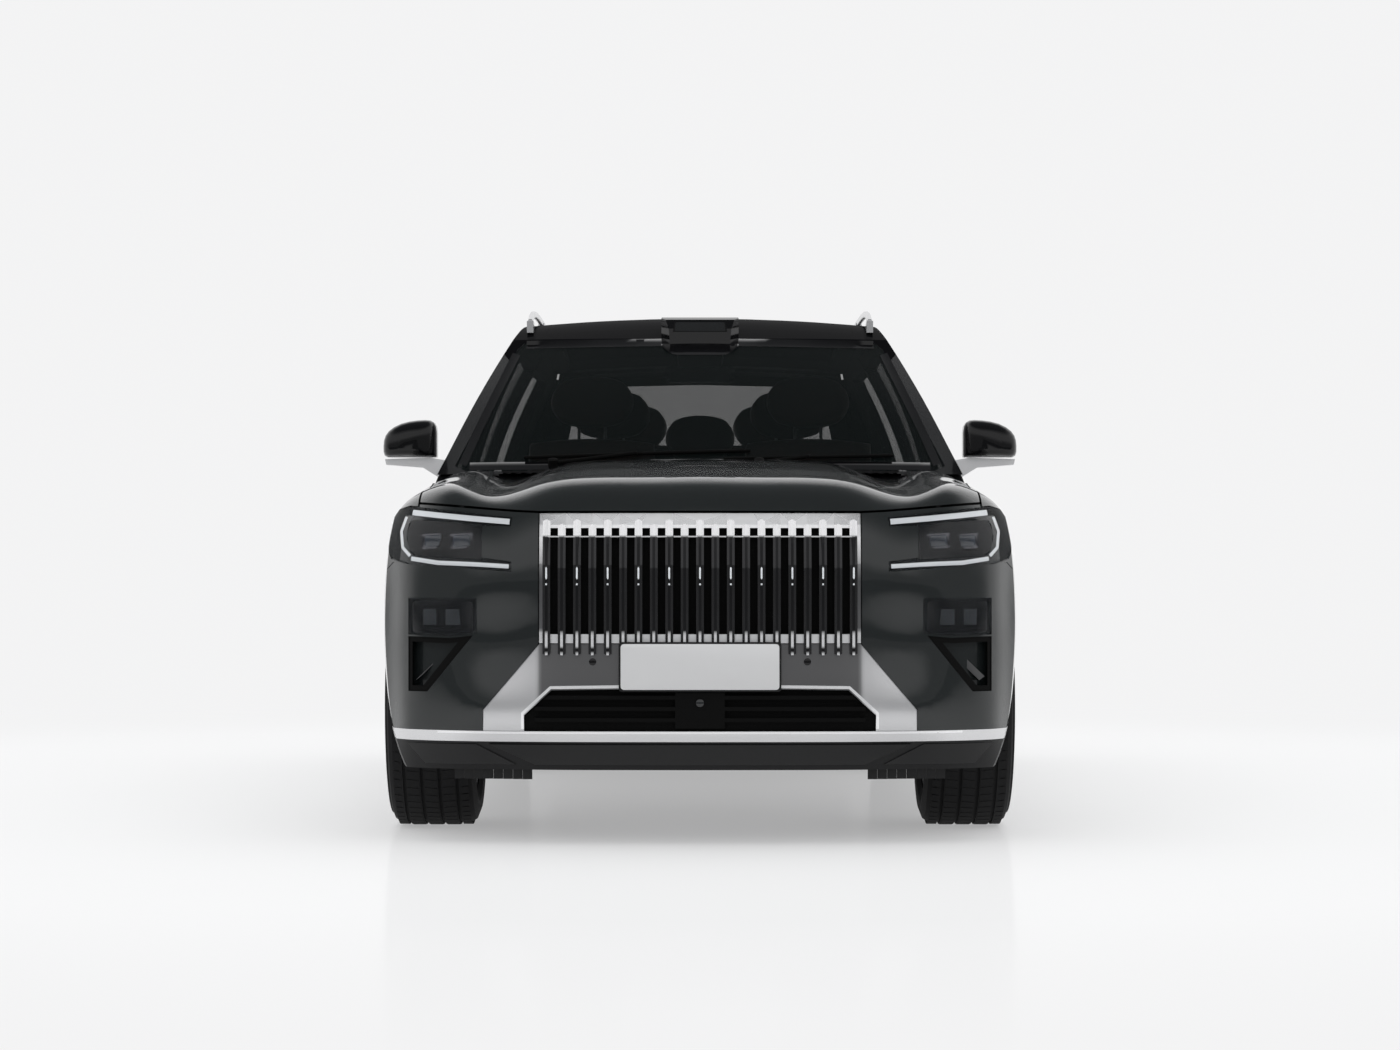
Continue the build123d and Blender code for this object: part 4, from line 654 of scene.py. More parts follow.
CORNER_PANEL = ((0.690, 0.640), (0.880, 0.640), (0.880, 0.736), (0.690, 0.736))
CELL_PLACES, CELL_Z, CELL_HALF = (0.745, 0.815), 0.688, (0.028, 0.024)


class CROSSOVER_OT_headlamps(bpy.types.Operator):
    """Light guides, dark bezels and lens units behind the clear covers"""
    bl_idname = "crossover.headlamps"
    bl_label = "Headlamps"

    def execute(self, context):
        cover = Skin("front_lamps")
        guides, bezels, units, lenses, corners, cells = (Heap() for _ in range(6))
        for side, half in SIDES:
            for path, step, width, thick, crown in GUIDES:
                ribbon(guides, cover, "front", dense(sided(path, half), step), width, GUIDE_LIFT, thick, crown)
            patch(bezels, cover, "front", rounded(sided(BEZEL, half), 0.012), BEZEL_LIFT, 0.006)
            for centre_x in UNIT_PLACES:
                middle = lay_point(cover, "front", half * centre_x, UNIT_Z, UNIT_LIFT)
                for scale, rise, target in ((1.0, 0.004, units), (0.72, 0.007, lenses)):
                    ring = [(middle.x + a * scale, middle.y, middle.z + b * scale)
                            for a, b in rounded(UNIT_OUTLINE, 0.01)]
                    target.loft([ring, [(x, y - rise, z) for x, y, z in ring],
                                 [(middle.x + (x - middle.x) * 0.9, y - rise - 0.0015, middle.z + (z - middle.z) * 0.9)
                                  for x, y, z in ring]])
            patch(corners, cover, "front", rounded(sided(CORNER_PANEL, half), 0.012), PANEL_LIFT, 0.006)
            for u in CELL_PLACES:
                middle = lay_point(cover, "front", half * u, CELL_Z, CELL_LIFT)
                cells.box((middle.x - CELL_HALF[0], middle.y - 0.003, middle.z - CELL_HALF[1]),
                          (middle.x + CELL_HALF[0], middle.y + 0.004, middle.z + CELL_HALF[1]), 0.0005)
        guides.keep("headlamp_guides", "light_guide")
        bezels.keep("headlamp_bezels", "gloss_black")
        units.keep("headlamp_units", "lamp_chrome")
        lenses.keep("headlamp_lenses", "projector_glass")
        corners.keep("corner_lamp_backs", "gloss_black")
        cells.keep("corner_lamp_cells", "cell_glass")
        return {"FINISHED"}


FRONT_PLATE_Z, REAR_PLATE_Z, PLATE_CORNER = 0.539, 0.79, 0.012
# piece, how much larger than the plate, distance from the face, thickness and finish
PLATE_PARTS = (("holder", 0.005, 0.0, 0.008, "black_plastic"), ("blank", -0.001, 0.006, 0.004, "plate_white"))


class CROSSOVER_OT_plates(bpy.types.Operator):
    """Blank number plates in thin black holders, front and rear"""
    bl_idname = "crossover.plates"
    bl_label = "Number plates"

    def execute(self, context):
        sizes = settings()[1]
        half, height = sizes.plate_width / 2, sizes.plate_height
        gate = Skin("tailgate")
        rear = min(lay_point(gate, "rear", u, REAR_PLATE_Z, 0.004).y for u in (-half, 0, half))
        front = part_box("grille_surround")[0].y - 0.004
        for name, y, z, facing, body in (("front_plate", front, FRONT_PLATE_Z, -1, "body"),
                                         ("rear_plate", rear, REAR_PLATE_Z, 1, "tailgate")):
            for part, grow, near, thick, look in PLATE_PARTS:
                outline = rounded(oblong((-half - grow, z - height / 2 - grow), (half + grow, z + height / 2 + grow)),
                                  PLATE_CORNER)
                start = y + facing * near
                rings = [[(u, start, v) for u, v in outline],
                         [(u, start + facing * thick * 0.8, v) for u, v in outline],
                         [(u * 0.995, start + facing * thick, z + (v - z) * 0.985) for u, v in outline]]
                Heap().loft(rings).keep(f"{name}_{part}", look, body)
        return {"FINISHED"}


VANE = ((0.862, 0.500), (0.800, 0.560), (0.742, 0.604))
FACET = ((-0.64, 0.302), (-0.50, 0.240), (0.50, 0.240), (0.64, 0.302))
CORNER_FACET = ((0.68, 0.302), (0.56, 0.240), (0.84, 0.240), (0.90, 0.302))
FLAP_COUNT, FLAP_START, FLAP_PITCH, FLAP_HALF, FLAP_FOOT, FLAP_TOP = 8, 0.525, 0.03, 0.0145, 0.194, 0.228


def plank(x, half, y0, y1, z):
    """Level rectangle."""
    return [(x - half, y0, z), (x + half, y0, z), (x + half, y1, z), (x - half, y1, z)]


class CROSSOVER_OT_nose(bpy.types.Operator):
    """Front camera, corner vanes, lower facets and air deflectors"""
    bl_idname = "crossover.nose"
    bl_label = "Nose fittings"

    def execute(self, context):
        intake, skirt = Skin("intake_grille"), Skin("lower_cladding")
        camera, vanes, plates, flaps = Heap(), Heap(), Heap(), Heap()
        camera.knob(lay_point(intake, "front", 0, 0.43), (0, -1, 0), [(-0.003, 0.012), (0.004, 0.012), (0.006, 0.008)],
                    0.006, 24)
        camera.keep("front_camera", "screen_black")
        for side, half in SIDES:
            y = lay_point(intake, "front", half * 0.838, 0.47).y + 0.02
            vanes.loft([[(u - 0.008, y, v - 0.006), (u + 0.008, y, v + 0.006), (u + 0.008, y + 0.05, v + 0.006),
                         (u - 0.008, y + 0.05, v - 0.006)] for u, v in dense(sided(VANE, half), 0.02)])
        vanes.keep("corner_vanes", "vane_grey")
        patch(plates, skirt, "front", FACET, 0.005, 0.008, 0.04)
        for side, half in SIDES:
            patch(plates, skirt, "front", sided(CORNER_FACET, half), 0.003, 0.006, 0.04)
            for k in range(FLAP_COUNT):
                u = half * (FLAP_START + FLAP_PITCH * k)
                y = lay_point(skirt, "front", u, 0.24).y + 0.03
                flaps.loft([plank(u, FLAP_HALF, y, y + 0.004, FLAP_FOOT),
                            plank(u, FLAP_HALF, y - 0.004, y + 0.002, FLAP_TOP)])
        plates.keep("lower_nose_facets", "gloss_black")
        flaps.keep("air_deflectors", "black_plastic")
        return {"FINISHED"}


# --- windscreen ---
# line of the black border and its width
BORDERS = ((((-0.63, 1.646), (0, 1.652), (0.63, 1.646)), 0.030), (((-0.79, 1.184), (0, 1.184), (0.79, 1.184)), 0.028))
SIDE_BORDER = ((0.815, 1.190), (0.772, 1.32), (0.716, 1.47), (0.664, 1.61))
SENSOR_PATCH = ((-0.10, 1.60), (0.10, 1.60), (0.15, 1.645), (-0.15, 1.645))
BORDER_LIFT, BORDER_THICK = 0.0012, 0.001
# ends of the blade and foot of the arm
WIPERS = (((-0.60, 1.214), (0.17, 1.236), (-0.50, 1.192)), ((0.08, 1.206), (0.66, 1.222), (0.20, 1.192)))
HOUSING_SECTIONS = ((0.075, 0.06), (0.08, 0.10), (0.05, 0.13))   # half width, distance behind the glass
MIRROR_Z = 1.535
MIRROR_SECTIONS = ((0.86, -0.022), (1.0, -0.006), (1.0, 0.008), (0.96, 0.011))   # scale, place along the car
SLAT_COUNT, SLAT_START, SLAT_PITCH, SLAT_DEPTH, SLAT_HALF = 9, -1.315, 0.012, 0.005, 0.67


class CROSSOVER_OT_screen(bpy.types.Operator):
    """Black screen border, wipers, sensor housing, inner mirror and cowl slats"""
    bl_idname = "crossover.screen"
    bl_label = "Windscreen fittings"

    def execute(self, context):
        glass = Skin("fixed_glass")
        border, wipers, housing, mirror, cowl = (Heap() for _ in range(5))
        for side, half in SIDES:
            ribbon(border, glass, "front", dense(sided(SIDE_BORDER, half), 0.03), 0.030, BORDER_LIFT, BORDER_THICK)
        for path, width in BORDERS:
            ribbon(border, glass, "front", dense(path, 0.04), width, BORDER_LIFT, BORDER_THICK)
        patch(border, glass, "front", rounded(SENSOR_PATCH, 0.02), BORDER_LIFT, BORDER_THICK)
        border.keep("screen_border", "gloss_black")
        for start, end, foot in WIPERS:
            wipers.tube([lay_point(glass, "front", u, v, 0.012) for u, v in dense([start, end], 0.05)], 0.006)
            middle = [(start[0] + end[0]) / 2, (start[1] + end[1]) / 2 + 0.002]
            arm = [lay_point(glass, "front", *point, lift)
                   for point, lift in ((foot, 0.016), (middle, 0.024), (middle, 0.012))]
            wipers.tube(arm, 0.007)
            wipers.knob(arm[0], (0, -0.4, 1), [(-0.02, 0.017), (0.014, 0.017)], 0.018, 16)
        wipers.keep("screen_wipers", "matt_black")
        top = lay_point(glass, "screen_inside", 0, 1.60, 0.004)
        housing.loft([[(x, top.y + dy, z)
                       for x, z in rounded([(-w, 1.56), (w, 1.56), (w * 1.1, 1.63), (-w * 1.1, 1.63)], 0.015)]
                      for w, dy in HOUSING_SECTIONS])
        housing.keep("screen_sensor_housing", "black_plastic")
        outline = rounded([(-0.125, 1.505), (0.125, 1.505), (0.13, 1.565), (-0.13, 1.565)], 0.025)
        y = top.y + 0.10
        mirror.loft([[(x * s, y + dy, MIRROR_Z + (z - MIRROR_Z) * s) for x, z in outline] for s, dy in MIRROR_SECTIONS])
        mirror.tube([(0, y, 1.56), (0, y - 0.01, 1.60)], 0.009)
        mirror.keep("inner_mirror", "gloss_black")
        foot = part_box("fixed_glass")[0].z
        for row in range(SLAT_COUNT):
            y = SLAT_START + SLAT_PITCH * row
            cowl.box((-SLAT_HALF, y, foot - 0.0012), (SLAT_HALF, y + SLAT_DEPTH, foot + 0.003))
        cowl.keep("cowl_slats", "black_plastic")
        return {"FINISHED"}


# --- sides and wheels ---
# door, its ends along the car and the ends of its handle
DOORS = (("door_front", -1.015, 0.055, (-0.155, 0.035)), ("door_rear", 0.085, 1.165, (0.925, 1.115)))
TRIM_Z, SILL_LINE_Z, SILL_LINE_END = 1.138, 0.352, 0.93
MIRROR_ARM = ((0.856, 1.150), (0.906, 1.150), (0.961, 1.184), (1.088, 1.194), (1.0925, 1.2135), (0.935, 1.2185),
              (0.880, 1.2085))
MIRROR_ARM_ENDS = (-0.9868, -0.9232)
HEAD_BASE, HEAD_INNER = 1.2195, 0.914
# share of the mirror head's width from its inner end, and of its height
MIRROR_OUTLINE = ((0.02, 0.0), (0.50, 0.0), (0.92, 0.0), (0.975, 0.04), (0.998, 0.14), (1.0, 0.30), (0.99, 0.45),
                  (0.96, 0.58), (0.90, 0.70), (0.80, 0.81), (0.66, 0.905), (0.50, 0.963), (0.34, 0.992), (0.20, 1.0),
                  (0.11, 0.985), (0.05, 0.93), (0.015, 0.83), (0.0, 0.68), (0.0, 0.10), (0.004, 0.03))
# sections of the head: distance from its front or back end, scale and drop
HEAD_FRONT = ((0, 0.42, 0.012), (0.006, 0.66, 0.008), (0.018, 0.84, 0.004), (0.040, 0.95, 0.001), (0.075, 1.0, 0.0))
HEAD_BACK = ((0.004, 1.0), (0, 0.97), (0, 0.92), (0.010, 0.90))
PANE_SECTIONS = ((0.0105, 0.88), (0.008, 0.88))
FLAP_LINE = ((1.83, 0.83), (2.0, 0.83), (2.0, 0.97), (1.83, 0.97), (1.83, 0.831))


class CROSSOVER_OT_sides(bpy.types.Operator):
    """Belt trim, door handles, sill lines, mirrors and the line of the charge flap"""
    bl_idname = "crossover.sides"
    bl_label = "Side fittings"

    def execute(self, context):
        trim = settings()[1].trim_width
        for side, half in SIDES:
            for door, y0, y1, (back, ahead) in DOORS:
                leaf = f"{door}_{side}"
                skin = Skin(leaf)
                strip(f"{door}_belt_trim_{side}", "bright_metal", leaf, skin, side, level(y0 + 0.03, y1, TRIM_Z, 0.05),
                      trim, 0.004, 0.004)
                grip = Heap()
                outline = rounded([(back, 0.934), (ahead, 0.938), (ahead, 0.966), (back, 0.962)], 0.012)
                patch(grip, skin, side, outline, 0.005, 0.006, 0.02)
                grip.keep(f"{door}_handle_{side}", "satin_silver", leaf)
                strip(f"{door}_sill_line_{side}", "bright_metal", leaf, skin, side,
                      level(y0 + 0.08, min(y1, SILL_LINE_END), SILL_LINE_Z, 0.05), 0.014, 0.004, 0.004)
            door = f"door_front_{side}"
            arm, shell, pane = Heap(), Heap(), Heap()
            arm.loft([[(half * x, y, z) for x, z in MIRROR_ARM] for y in MIRROR_ARM_ENDS])
            arm.keep(f"mirror_arm_{side}", "bright_metal", door)
            low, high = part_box(f"mirror_{side}")
            outer = high.x if half > 0 else -low.x

            def section(y, scale, sink=0.0):
                """Outline of the mirror head at y, drawn in about its middle by scale."""
                middle_x, middle_z = (outer + HEAD_INNER) / 2, (high.z + HEAD_BASE) / 2
                return [(half * (middle_x + (HEAD_INNER + u * (outer - HEAD_INNER) - middle_x) * scale), y,
                         middle_z + (HEAD_BASE + v * (high.z - HEAD_BASE) - middle_z) * scale - sink)
                        for u, v in MIRROR_OUTLINE]

            shell.loft([section(low.y + away, scale, sink) for away, scale, sink in HEAD_FRONT]
                       + [section(high.y - away, scale) for away, scale in HEAD_BACK])
            shell = shell.keep(f"mirror_head_{side}", "gloss_black", door, 50)
            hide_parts(f"mirror_{side}")
            pane.loft([section(high.y - away, scale) for away, scale in PANE_SECTIONS])
            pane.keep(f"mirror_pane_{side}", "mirror_silver", door)
        body = Skin("body_shell")
        strip("charge_flap_line", "matt_black", "body", body, "left", rounded(FLAP_LINE, 0.02)[:-6],
              0.003, 0.0006, 0.001)
        for side, half in SIDES:
            strip(f"quarter_belt_trim_{side}", "bright_metal", "body", body, side, level(1.20, 2.10, TRIM_Z, 0.05),
                  trim, 0.004, 0.004)
        return {"FINISHED"}


def centre_of(node):
    """Middle of the box of a CAD node."""
    low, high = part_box(node)
    return [(a + b) / 2 for a, b in zip(low, high)]


WHEEL_X = centre_of("tyre_front_left")[0]
WHEEL_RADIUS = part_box("tyre_front_left")[1].z / 2
TREAD_RIBS = ((-0.118, -0.092), (-0.076, -0.036), (-0.020, 0.020), (0.036, 0.076), (0.092, 0.118))
TREAD_FILL, TREAD_SKEW, TREAD_RISE, TREAD_SINK, SHOULDER_DROP = 0.86, 0.012, 0.0012, 0.002, 0.0016
WALL_RINGS = (0.312, 0.352)
BOLT_COUNT, BOLT_INSET = 5, 0.052


class CROSSOVER_OT_wheels(bpy.types.Operator):
    """Tread blocks, side wall rings, wheel bolts and blank centre caps"""
    bl_idname = "crossover.wheels"
    bl_label = "Wheels"

    def execute(self, context):
        for axle in ("front", "rear"):
            for side, half in SIDES:
                centre = Vector((half * WHEEL_X, centre_of(f"tyre_{axle}_left")[1], WHEEL_RADIUS))
                self.dress(f"{axle}_{side}", half, centre, settings()[1])
        return {"FINISHED"}

    def dress(self, name, half, centre, sizes):
        """Pieces of one wheel."""
        body = f"wheel_{name}"
        tread, walls, bolts, cap = Heap(), Heap(), Heap(), Heap()
        for low, high in TREAD_RIBS:
            radius = WHEEL_RADIUS - (SHOULDER_DROP if abs(low + high) > 0.2 else 0.0)
            skew = TREAD_SKEW * (1 if low + high > 0 else -1)
            for k in range(sizes.tread_pitch):
                a0 = math.tau * k / sizes.tread_pitch
                a1 = a0 + math.tau / sizes.tread_pitch * TREAD_FILL
                corners = ((a0, -TREAD_SINK), (a0, TREAD_RISE), (a1, TREAD_RISE), (a1, -TREAD_SINK))
                tread.loft([[centre + Vector((across, (radius + lift) * math.sin(angle + lean),
                                              (radius + lift) * math.cos(angle + lean))) for angle, lift in corners]
                            for across, lean in ((low, 0.0), (high, skew))])
        tread.keep(f"tyre_tread_{name}", "tyre_rubber", body)
        for radius in WALL_RINGS:
            walls.turned(centre, (half, 0, 0), [(0.138, radius), (0.1424, radius + 0.003), (0.138, radius + 0.006)], 64)
        walls.keep(f"tyre_wall_rings_{name}", "tyre_rubber", body)
        for k in range(BOLT_COUNT):
            angle = math.tau * k / BOLT_COUNT
            place = centre + Vector((0, math.sin(angle), math.cos(angle))) * sizes.bolt_circle / 2
            bolts.knob(place + Vector((half * BOLT_INSET, 0, 0)), (half, 0, 0),
                       [(0, 0.0105), (0.026, 0.0105), (0.028, 0.008)], 0.028, 6)
        bolts.keep(f"wheel_bolts_{name}", "brake_steel", body)
        cap.knob(centre, (half, 0, 0), [(0.084, 0.034), (0.094, 0.034), (0.099, 0.029)], 0.101, 32)
        cap.keep(f"wheel_cap_{name}", "gloss_black", body)


# --- cabin ---
CHANNEL_DEPTH = 0.006


def pad(heap, place, width, depth, thick, crown, bolster=0.0, waist=0.0, channels=(), cross=0, count=34, corner=0.12):
    """Stuffed pad lying in its own XY plane: crowned, pulled in between its corners, with sewn channels."""
    seam = settings()[1].seam

    def surface(u, v, top):
        edge = (1 - abs(u) ** 5) ** 0.35 * (1 - abs(v) ** 5) ** 0.35 if abs(u) < 1 and abs(v) < 1 else 0.0
        pull = 1 - waist * (1 - v * v)
        x = width / 2 * u * pull * math.sqrt(1 - corner * v * v)
        y = depth / 2 * v * math.sqrt(1 - corner * u * u)
        z = thick / 2 * edge
        if top:
            z += crown * (1 - u * u) * (1 - v * v)
            z += bolster * max(0.0, (abs(u) - 0.6) / 0.4) * edge * (1 if abs(u) < 0.9 else 0.8)
            dip = 0.0
            for channel in channels:
                dip = max(dip, math.exp(-((abs(u) - channel) * width / 2 / seam) ** 2))
            if cross and abs(u) < 0.6 and abs(v) < 0.86:
                step = 1.7 / cross
                away = abs(((v + 0.85) / step) % 1 - 0.5) * step
                dip = max(dip, math.exp(-((step / 2 - away) * depth / 2 / seam) ** 2))
            z -= CHANNEL_DEPTH * dip * edge
        return place @ Vector((x, y, z if top else -z * 0.9))

    span = [math.sin(math.pi / 2 * (2 * i / count - 1)) * 0.35 + (2 * i / count - 1) * 0.65 for i in range(count + 1)]
    vertices, faces = [], []
    for top in (True, False):
        start = len(vertices)
        vertices += [surface(u, v, top) for v in span for u in span]
        for j in range(count):
            for i in range(count):
                a = start + j * (count + 1) + i
                quad = (a, a + 1, a + count + 2, a + count + 1)
                faces.append(quad if top else quad[::-1])
    return heap.add(vertices, faces)


def tilted(place, lean):
    """Place of a backrest: its own +Y climbs and its +Z faces forward, leaning back by lean degrees."""
    return Matrix.Translation(place) @ Matrix.Rotation(math.radians(90 - lean), 4, "X")


def padded_piece(name, replaced, place, *form, **more):
    """A pad as a piece of hide that stands for a CAD node."""
    heap = Heap()
    pad(heap, place, *form, **more)
    piece = heap.keep(name, "seat_hide", "body", 60)
    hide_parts(replaced)
    return piece


# name, x, y, height of the cushion, width, height of the back, lean in degrees, rise of the headrest, height of
# the floor and the CAD node
SEAT_ROWS = (("front_seat", 0.41, -0.19, 0.655, 0.52, 0.58, 14, 0.16, 0.402, "front_seats"),
             ("second_seat", 0.36, 0.72, 0.675, 0.56, 0.56, 14, 0.15, 0.402, "rear_seats"),
             ("third_seat", 0.30, 1.56, 0.855, 0.50, 0.42, 20, 0.09, 0.722, "rear_seats"))
# crown, bolster, waist, places of the long channels and count of the cross channels
CUSHION, BACKREST = (0.015, 0.028, 0.02, (0.58,), 5), (0.012, 0.035, 0.05, (0.58,), 7)
PILLOW = {"waist": -0.02, "count": 24, "corner": 0.42}


class CROSSOVER_OT_seats(bpy.types.Operator):
    """Three rows of padded seats with stitched channels, on their frames"""
    bl_idname = "crossover.seats"
    bl_label = "Seats"

    def execute(self, context):
        frames, posts = Heap(), Heap()
        for name, out, y, base, width, back, lean, rise, floor, replaced in SEAT_ROWS:
            slope = math.tan(math.radians(lean))
            for side, half in SIDES:
                x = half * out
                seat = f"{name}_{side}"
                flat = Matrix.Translation((x, y, base)) @ Matrix.Rotation(math.radians(4), 4, "X")
                middle = (x, y + 0.235 + slope * (0.07 + back / 2), base + 0.07 + back / 2)
                top = (x, y + 0.225 + slope * (0.07 + back + rise), base + 0.07 + back + rise)
                for part, place, form, more in (
                        ("cushion", flat, (width, 0.53, 0.13, *CUSHION), {}),
                        ("backrest", tilted(middle, lean), (width * 0.98, back + 0.06, 0.125, *BACKREST), {}),
                        ("headrest", tilted(top, lean - 4), (0.31, 0.20, 0.10, 0.014), PILLOW)):
                    piece = padded_piece(f"{seat}_{part}", replaced, place, *form, **more)
                frames.box((x - width / 2 + 0.05, y - 0.19, floor), (x + width / 2 - 0.05, y + 0.2, base - 0.045), 0.02)
                for dx in (-0.05, 0.05):
                    posts.tube([(x + dx, y + 0.245 + slope * (back + up), base + back + z)
                                for up, z in ((0.03, 0.05), (0.20, 0.20))], 0.006)
        frames.keep("seat_frames", "chassis_black")
        posts.keep("headrest_posts", "brake_steel")
        padded_piece("centre_headrest", "rear_seats", tilted((0, 1.165, 1.36), 12), 0.275, 0.19, 0.09, 0.012, **PILLOW)
        return {"FINISHED"}


VENT_PLACES, VENT_ROWS, VENT_LOW, VENT_PITCH, VENT_HALF = (-0.70, -0.12, 0.12, 0.70), 4, 0.965, 0.012, 0.055
SCREEN_X, SCREEN_Z = (-0.325, 0.555), (1.068, 1.19)
CONSOLE_START, CONSOLE_PITCH = -0.56, 0.09
COLUMN_AXIS = (0, 0.927184, 0.374607)
# corners of the carpets, seen from above
CARPETS = (((0.17, -1.0), (0.73, 0.92)), ((-0.73, -1.0), (-0.17, 0.92)), ((-0.59, 1.40), (0.59, 2.07)),
           ((-0.54, 2.09), (0.54, 2.45)))
DOOR_LININGS = (("door_front", -1.0, -0.12), ("door_rear", 0.10, 0.86))
ARMRESTS = ((0.80, 0.05, 0.05), (0.60, 0.09, 0.03))   # height, width, thickness


class CROSSOVER_OT_cabin(bpy.types.Operator):
    """Vents, screen, console pads, wheel boss, carpets, door linings and armrests"""
    bl_idname = "crossover.cabin"
    bl_label = "Cabin"

    def execute(self, context):
        dash, body = Skin("dashboard"), Skin("body_shell")
        vents, screen, console, boss, floor = (Heap() for _ in range(5))
        for x in VENT_PLACES:
            for row in range(VENT_ROWS):
                z = VENT_LOW + row * VENT_PITCH
                ribbon(vents, dash, "rear", [(x - VENT_HALF, z), (x, z), (x + VENT_HALF, z)], 0.004, 0.003, 0.003)
        vents.keep("dash_vents", "satin_silver")
        y = lay_point(dash, "rear", 0.1, 1.13).y
        screen.box((SCREEN_X[0], y - 0.001, SCREEN_Z[0]), (SCREEN_X[1], y + 0.002, SCREEN_Z[1]))
        screen.keep("dash_screen", "screen_black")
        strip("dash_trim_line", "satin_silver", "body", dash, "rear", level(-0.76, 0.76, 1.052, 0.1),
              0.008, 0.002, 0.003)
        for row in range(3):
            y = CONSOLE_START + CONSOLE_PITCH * row
            ribbon(console, dash, "top", [(-0.06, y), (0.0, y), (0.06, y)], 0.05, 0.002, 0.003)
        console.keep("console_pads", "screen_black")
        low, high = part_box("steering_wheel")
        boss.knob((low + high) / 2, COLUMN_AXIS, [(0.005, 0.074), (0.024, 0.070), (0.032, 0.05)], 0.034, 32)
        boss.keep("wheel_boss_cover", "dash_hide", "steering_wheel")
        for near, far in CARPETS:
            patch(floor, body, "floor", oblong(near, far), 0.003, 0.004, 0.12)
        floor.keep("cabin_carpet", "carpet")
        for side, half in SIDES:
            for door, y0, y1 in DOOR_LININGS:
                skin = Skin(f"{door}_{side}")
                lining, rest = Heap(), Heap()
                patch(lining, skin, f"inside_{side}", rounded(oblong((y0, 0.46), (y1, 1.10)), 0.05), 0.004, 0.006, 0.06)
                lining.keep(f"{door}_lining_{side}", "dash_hide", f"{door}_{side}")
                for z, width, thick in ARMRESTS:
                    ribbon(rest, skin, f"inside_{side}", level(y0 + 0.12, y1 - 0.1, z, 0.06), width, thick,
                           thick - 0.002, 0.004)
                rest.keep(f"{door}_armrest_{side}", "seat_hide", f"{door}_{side}")
        return {"FINISHED"}


# --- rear and roof ---
WIPER_PIVOT, WIPER_STOPS, WIPER_FOOT, WIPER_RISE = (-0.02, 1.205), (0.02, 0.12, 0.22, 0.32, 0.42), 1.235, 0.02
SEAL_LOW, SEAL_PITCH, SEAL_COUNT, SEAL_WIDTH, SEAL_OUT = 1.17, 0.0545, 10, 0.034, 0.004
OUTLET = ((0.430, 0.262), (0.640, 0.262), (0.655, 0.300), (0.640, 0.336), (0.445, 0.336))
OUTLET_MIDDLE, OUTLET_WALL, OUTLET_PROUD, OUTLET_DEPTH = (0.54, 0.299), 0.90, 0.003, 0.05


def gate_edge(gate, z):
    """Half width of the tailgate at a height."""
    x = 1.0
    while gate.hit((x, 0, z), (0, 1, 0)) is None:
        x -= 0.002
    return x


class CROSSOVER_OT_rear(bpy.types.Operator):
    """Tail lamp strip, rear wiper, bright line, high brake light, seal, reflectors, valance and exhaust finishers"""
    bl_idname = "crossover.rear"
    bl_label = "Rear fittings"

    def execute(self, context):
        glass, gate, bumper = Skin("tailgate_glass"), Skin("tailgate"), Skin("rear_bumper")
        wiper, seal, reflectors, finishers = Heap(), Heap(), Heap(), Heap()
        strip("tail_lamp_bar", "light_guide", "tailgate", Skin("tail_lamp"), "rear", level(-0.80, 0.80, 0.973, 0.04),
              0.012, 0.002, 0.003, 0.001)
        wiper.tube([lay_point(glass, "rear", u, WIPER_FOOT + WIPER_RISE * u, 0.012) for u in WIPER_STOPS], 0.005)
        wiper.tube([lay_point(glass, "rear", *WIPER_PIVOT, 0.014), lay_point(glass, "rear", 0.22, WIPER_FOOT, 0.020)],
                   0.007)
        wiper.knob(lay_point(glass, "rear", *WIPER_PIVOT), (0, 1, 0.4), [(0.0, 0.02), (0.018, 0.018)], 0.022, 20)
        wiper.keep("rear_wiper", "matt_black", "tailgate")
        strip("tailgate_bright_line", "bright_metal", "tailgate", gate, "rear", level(-0.56, 0.56, 0.875, 0.05),
              0.012, 0.004, 0.004)
        strip("high_brake_light", "red_lens", "tailgate", gate, "rear", level(-0.16, 0.16, 1.662, 0.04),
              0.012, 0.002, 0.004)
        heights = [SEAL_LOW + SEAL_PITCH * k for k in range(SEAL_COUNT)]
        for side, half in SIDES:
            path = [(half * (gate_edge(gate, z) + SEAL_OUT), z) for z in heights]
            ribbon(seal, gate, "front", path, SEAL_WIDTH, 0.012, 0.008)
        seal.keep("tailgate_seal", "matt_black")
        strip("rear_valance", "black_plastic", "body", bumper, "rear", level(-0.40, 0.40, 0.300, 0.05),
              0.10, 0.003, 0.004)
        for side, half in SIDES:
            ribbon(reflectors, bumper, "rear", level(half * 0.70, half * 0.86, 0.43, 0.03), 0.022, 0.003, 0.004)
            y = lay_point(bumper, "rear", half * 0.54, 0.36).y
            middle = Vector((half * OUTLET_MIDDLE[0], OUTLET_MIDDLE[1]))
            rings = []
            for u, v in rounded(sided(OUTLET, half), 0.01):
                inner = middle + (Vector((u, v)) - middle) * OUTLET_WALL
                rings.append([(u, y + OUTLET_PROUD, v), (inner.x, y + OUTLET_PROUD, inner.y),
                              (inner.x, y - OUTLET_DEPTH, inner.y), (u, y - OUTLET_DEPTH, v)])
            finishers.loft(rings, closed=True)
        reflectors.keep("rear_reflectors", "red_lens")
        finishers.keep("exhaust_finishers", "bright_metal")
        return {"FINISHED"}


POD_WINDOW = ((-0.093, 1.692), (0.093, 1.692), (0.088, 1.724), (-0.088, 1.724))
# place along the car, half width at the foot and height
AERIAL_SECTIONS = ((1.94, 0.004, 0.012), (1.98, 0.014, 0.032), (2.02, 0.018, 0.044), (2.045, 0.012, 0.040))


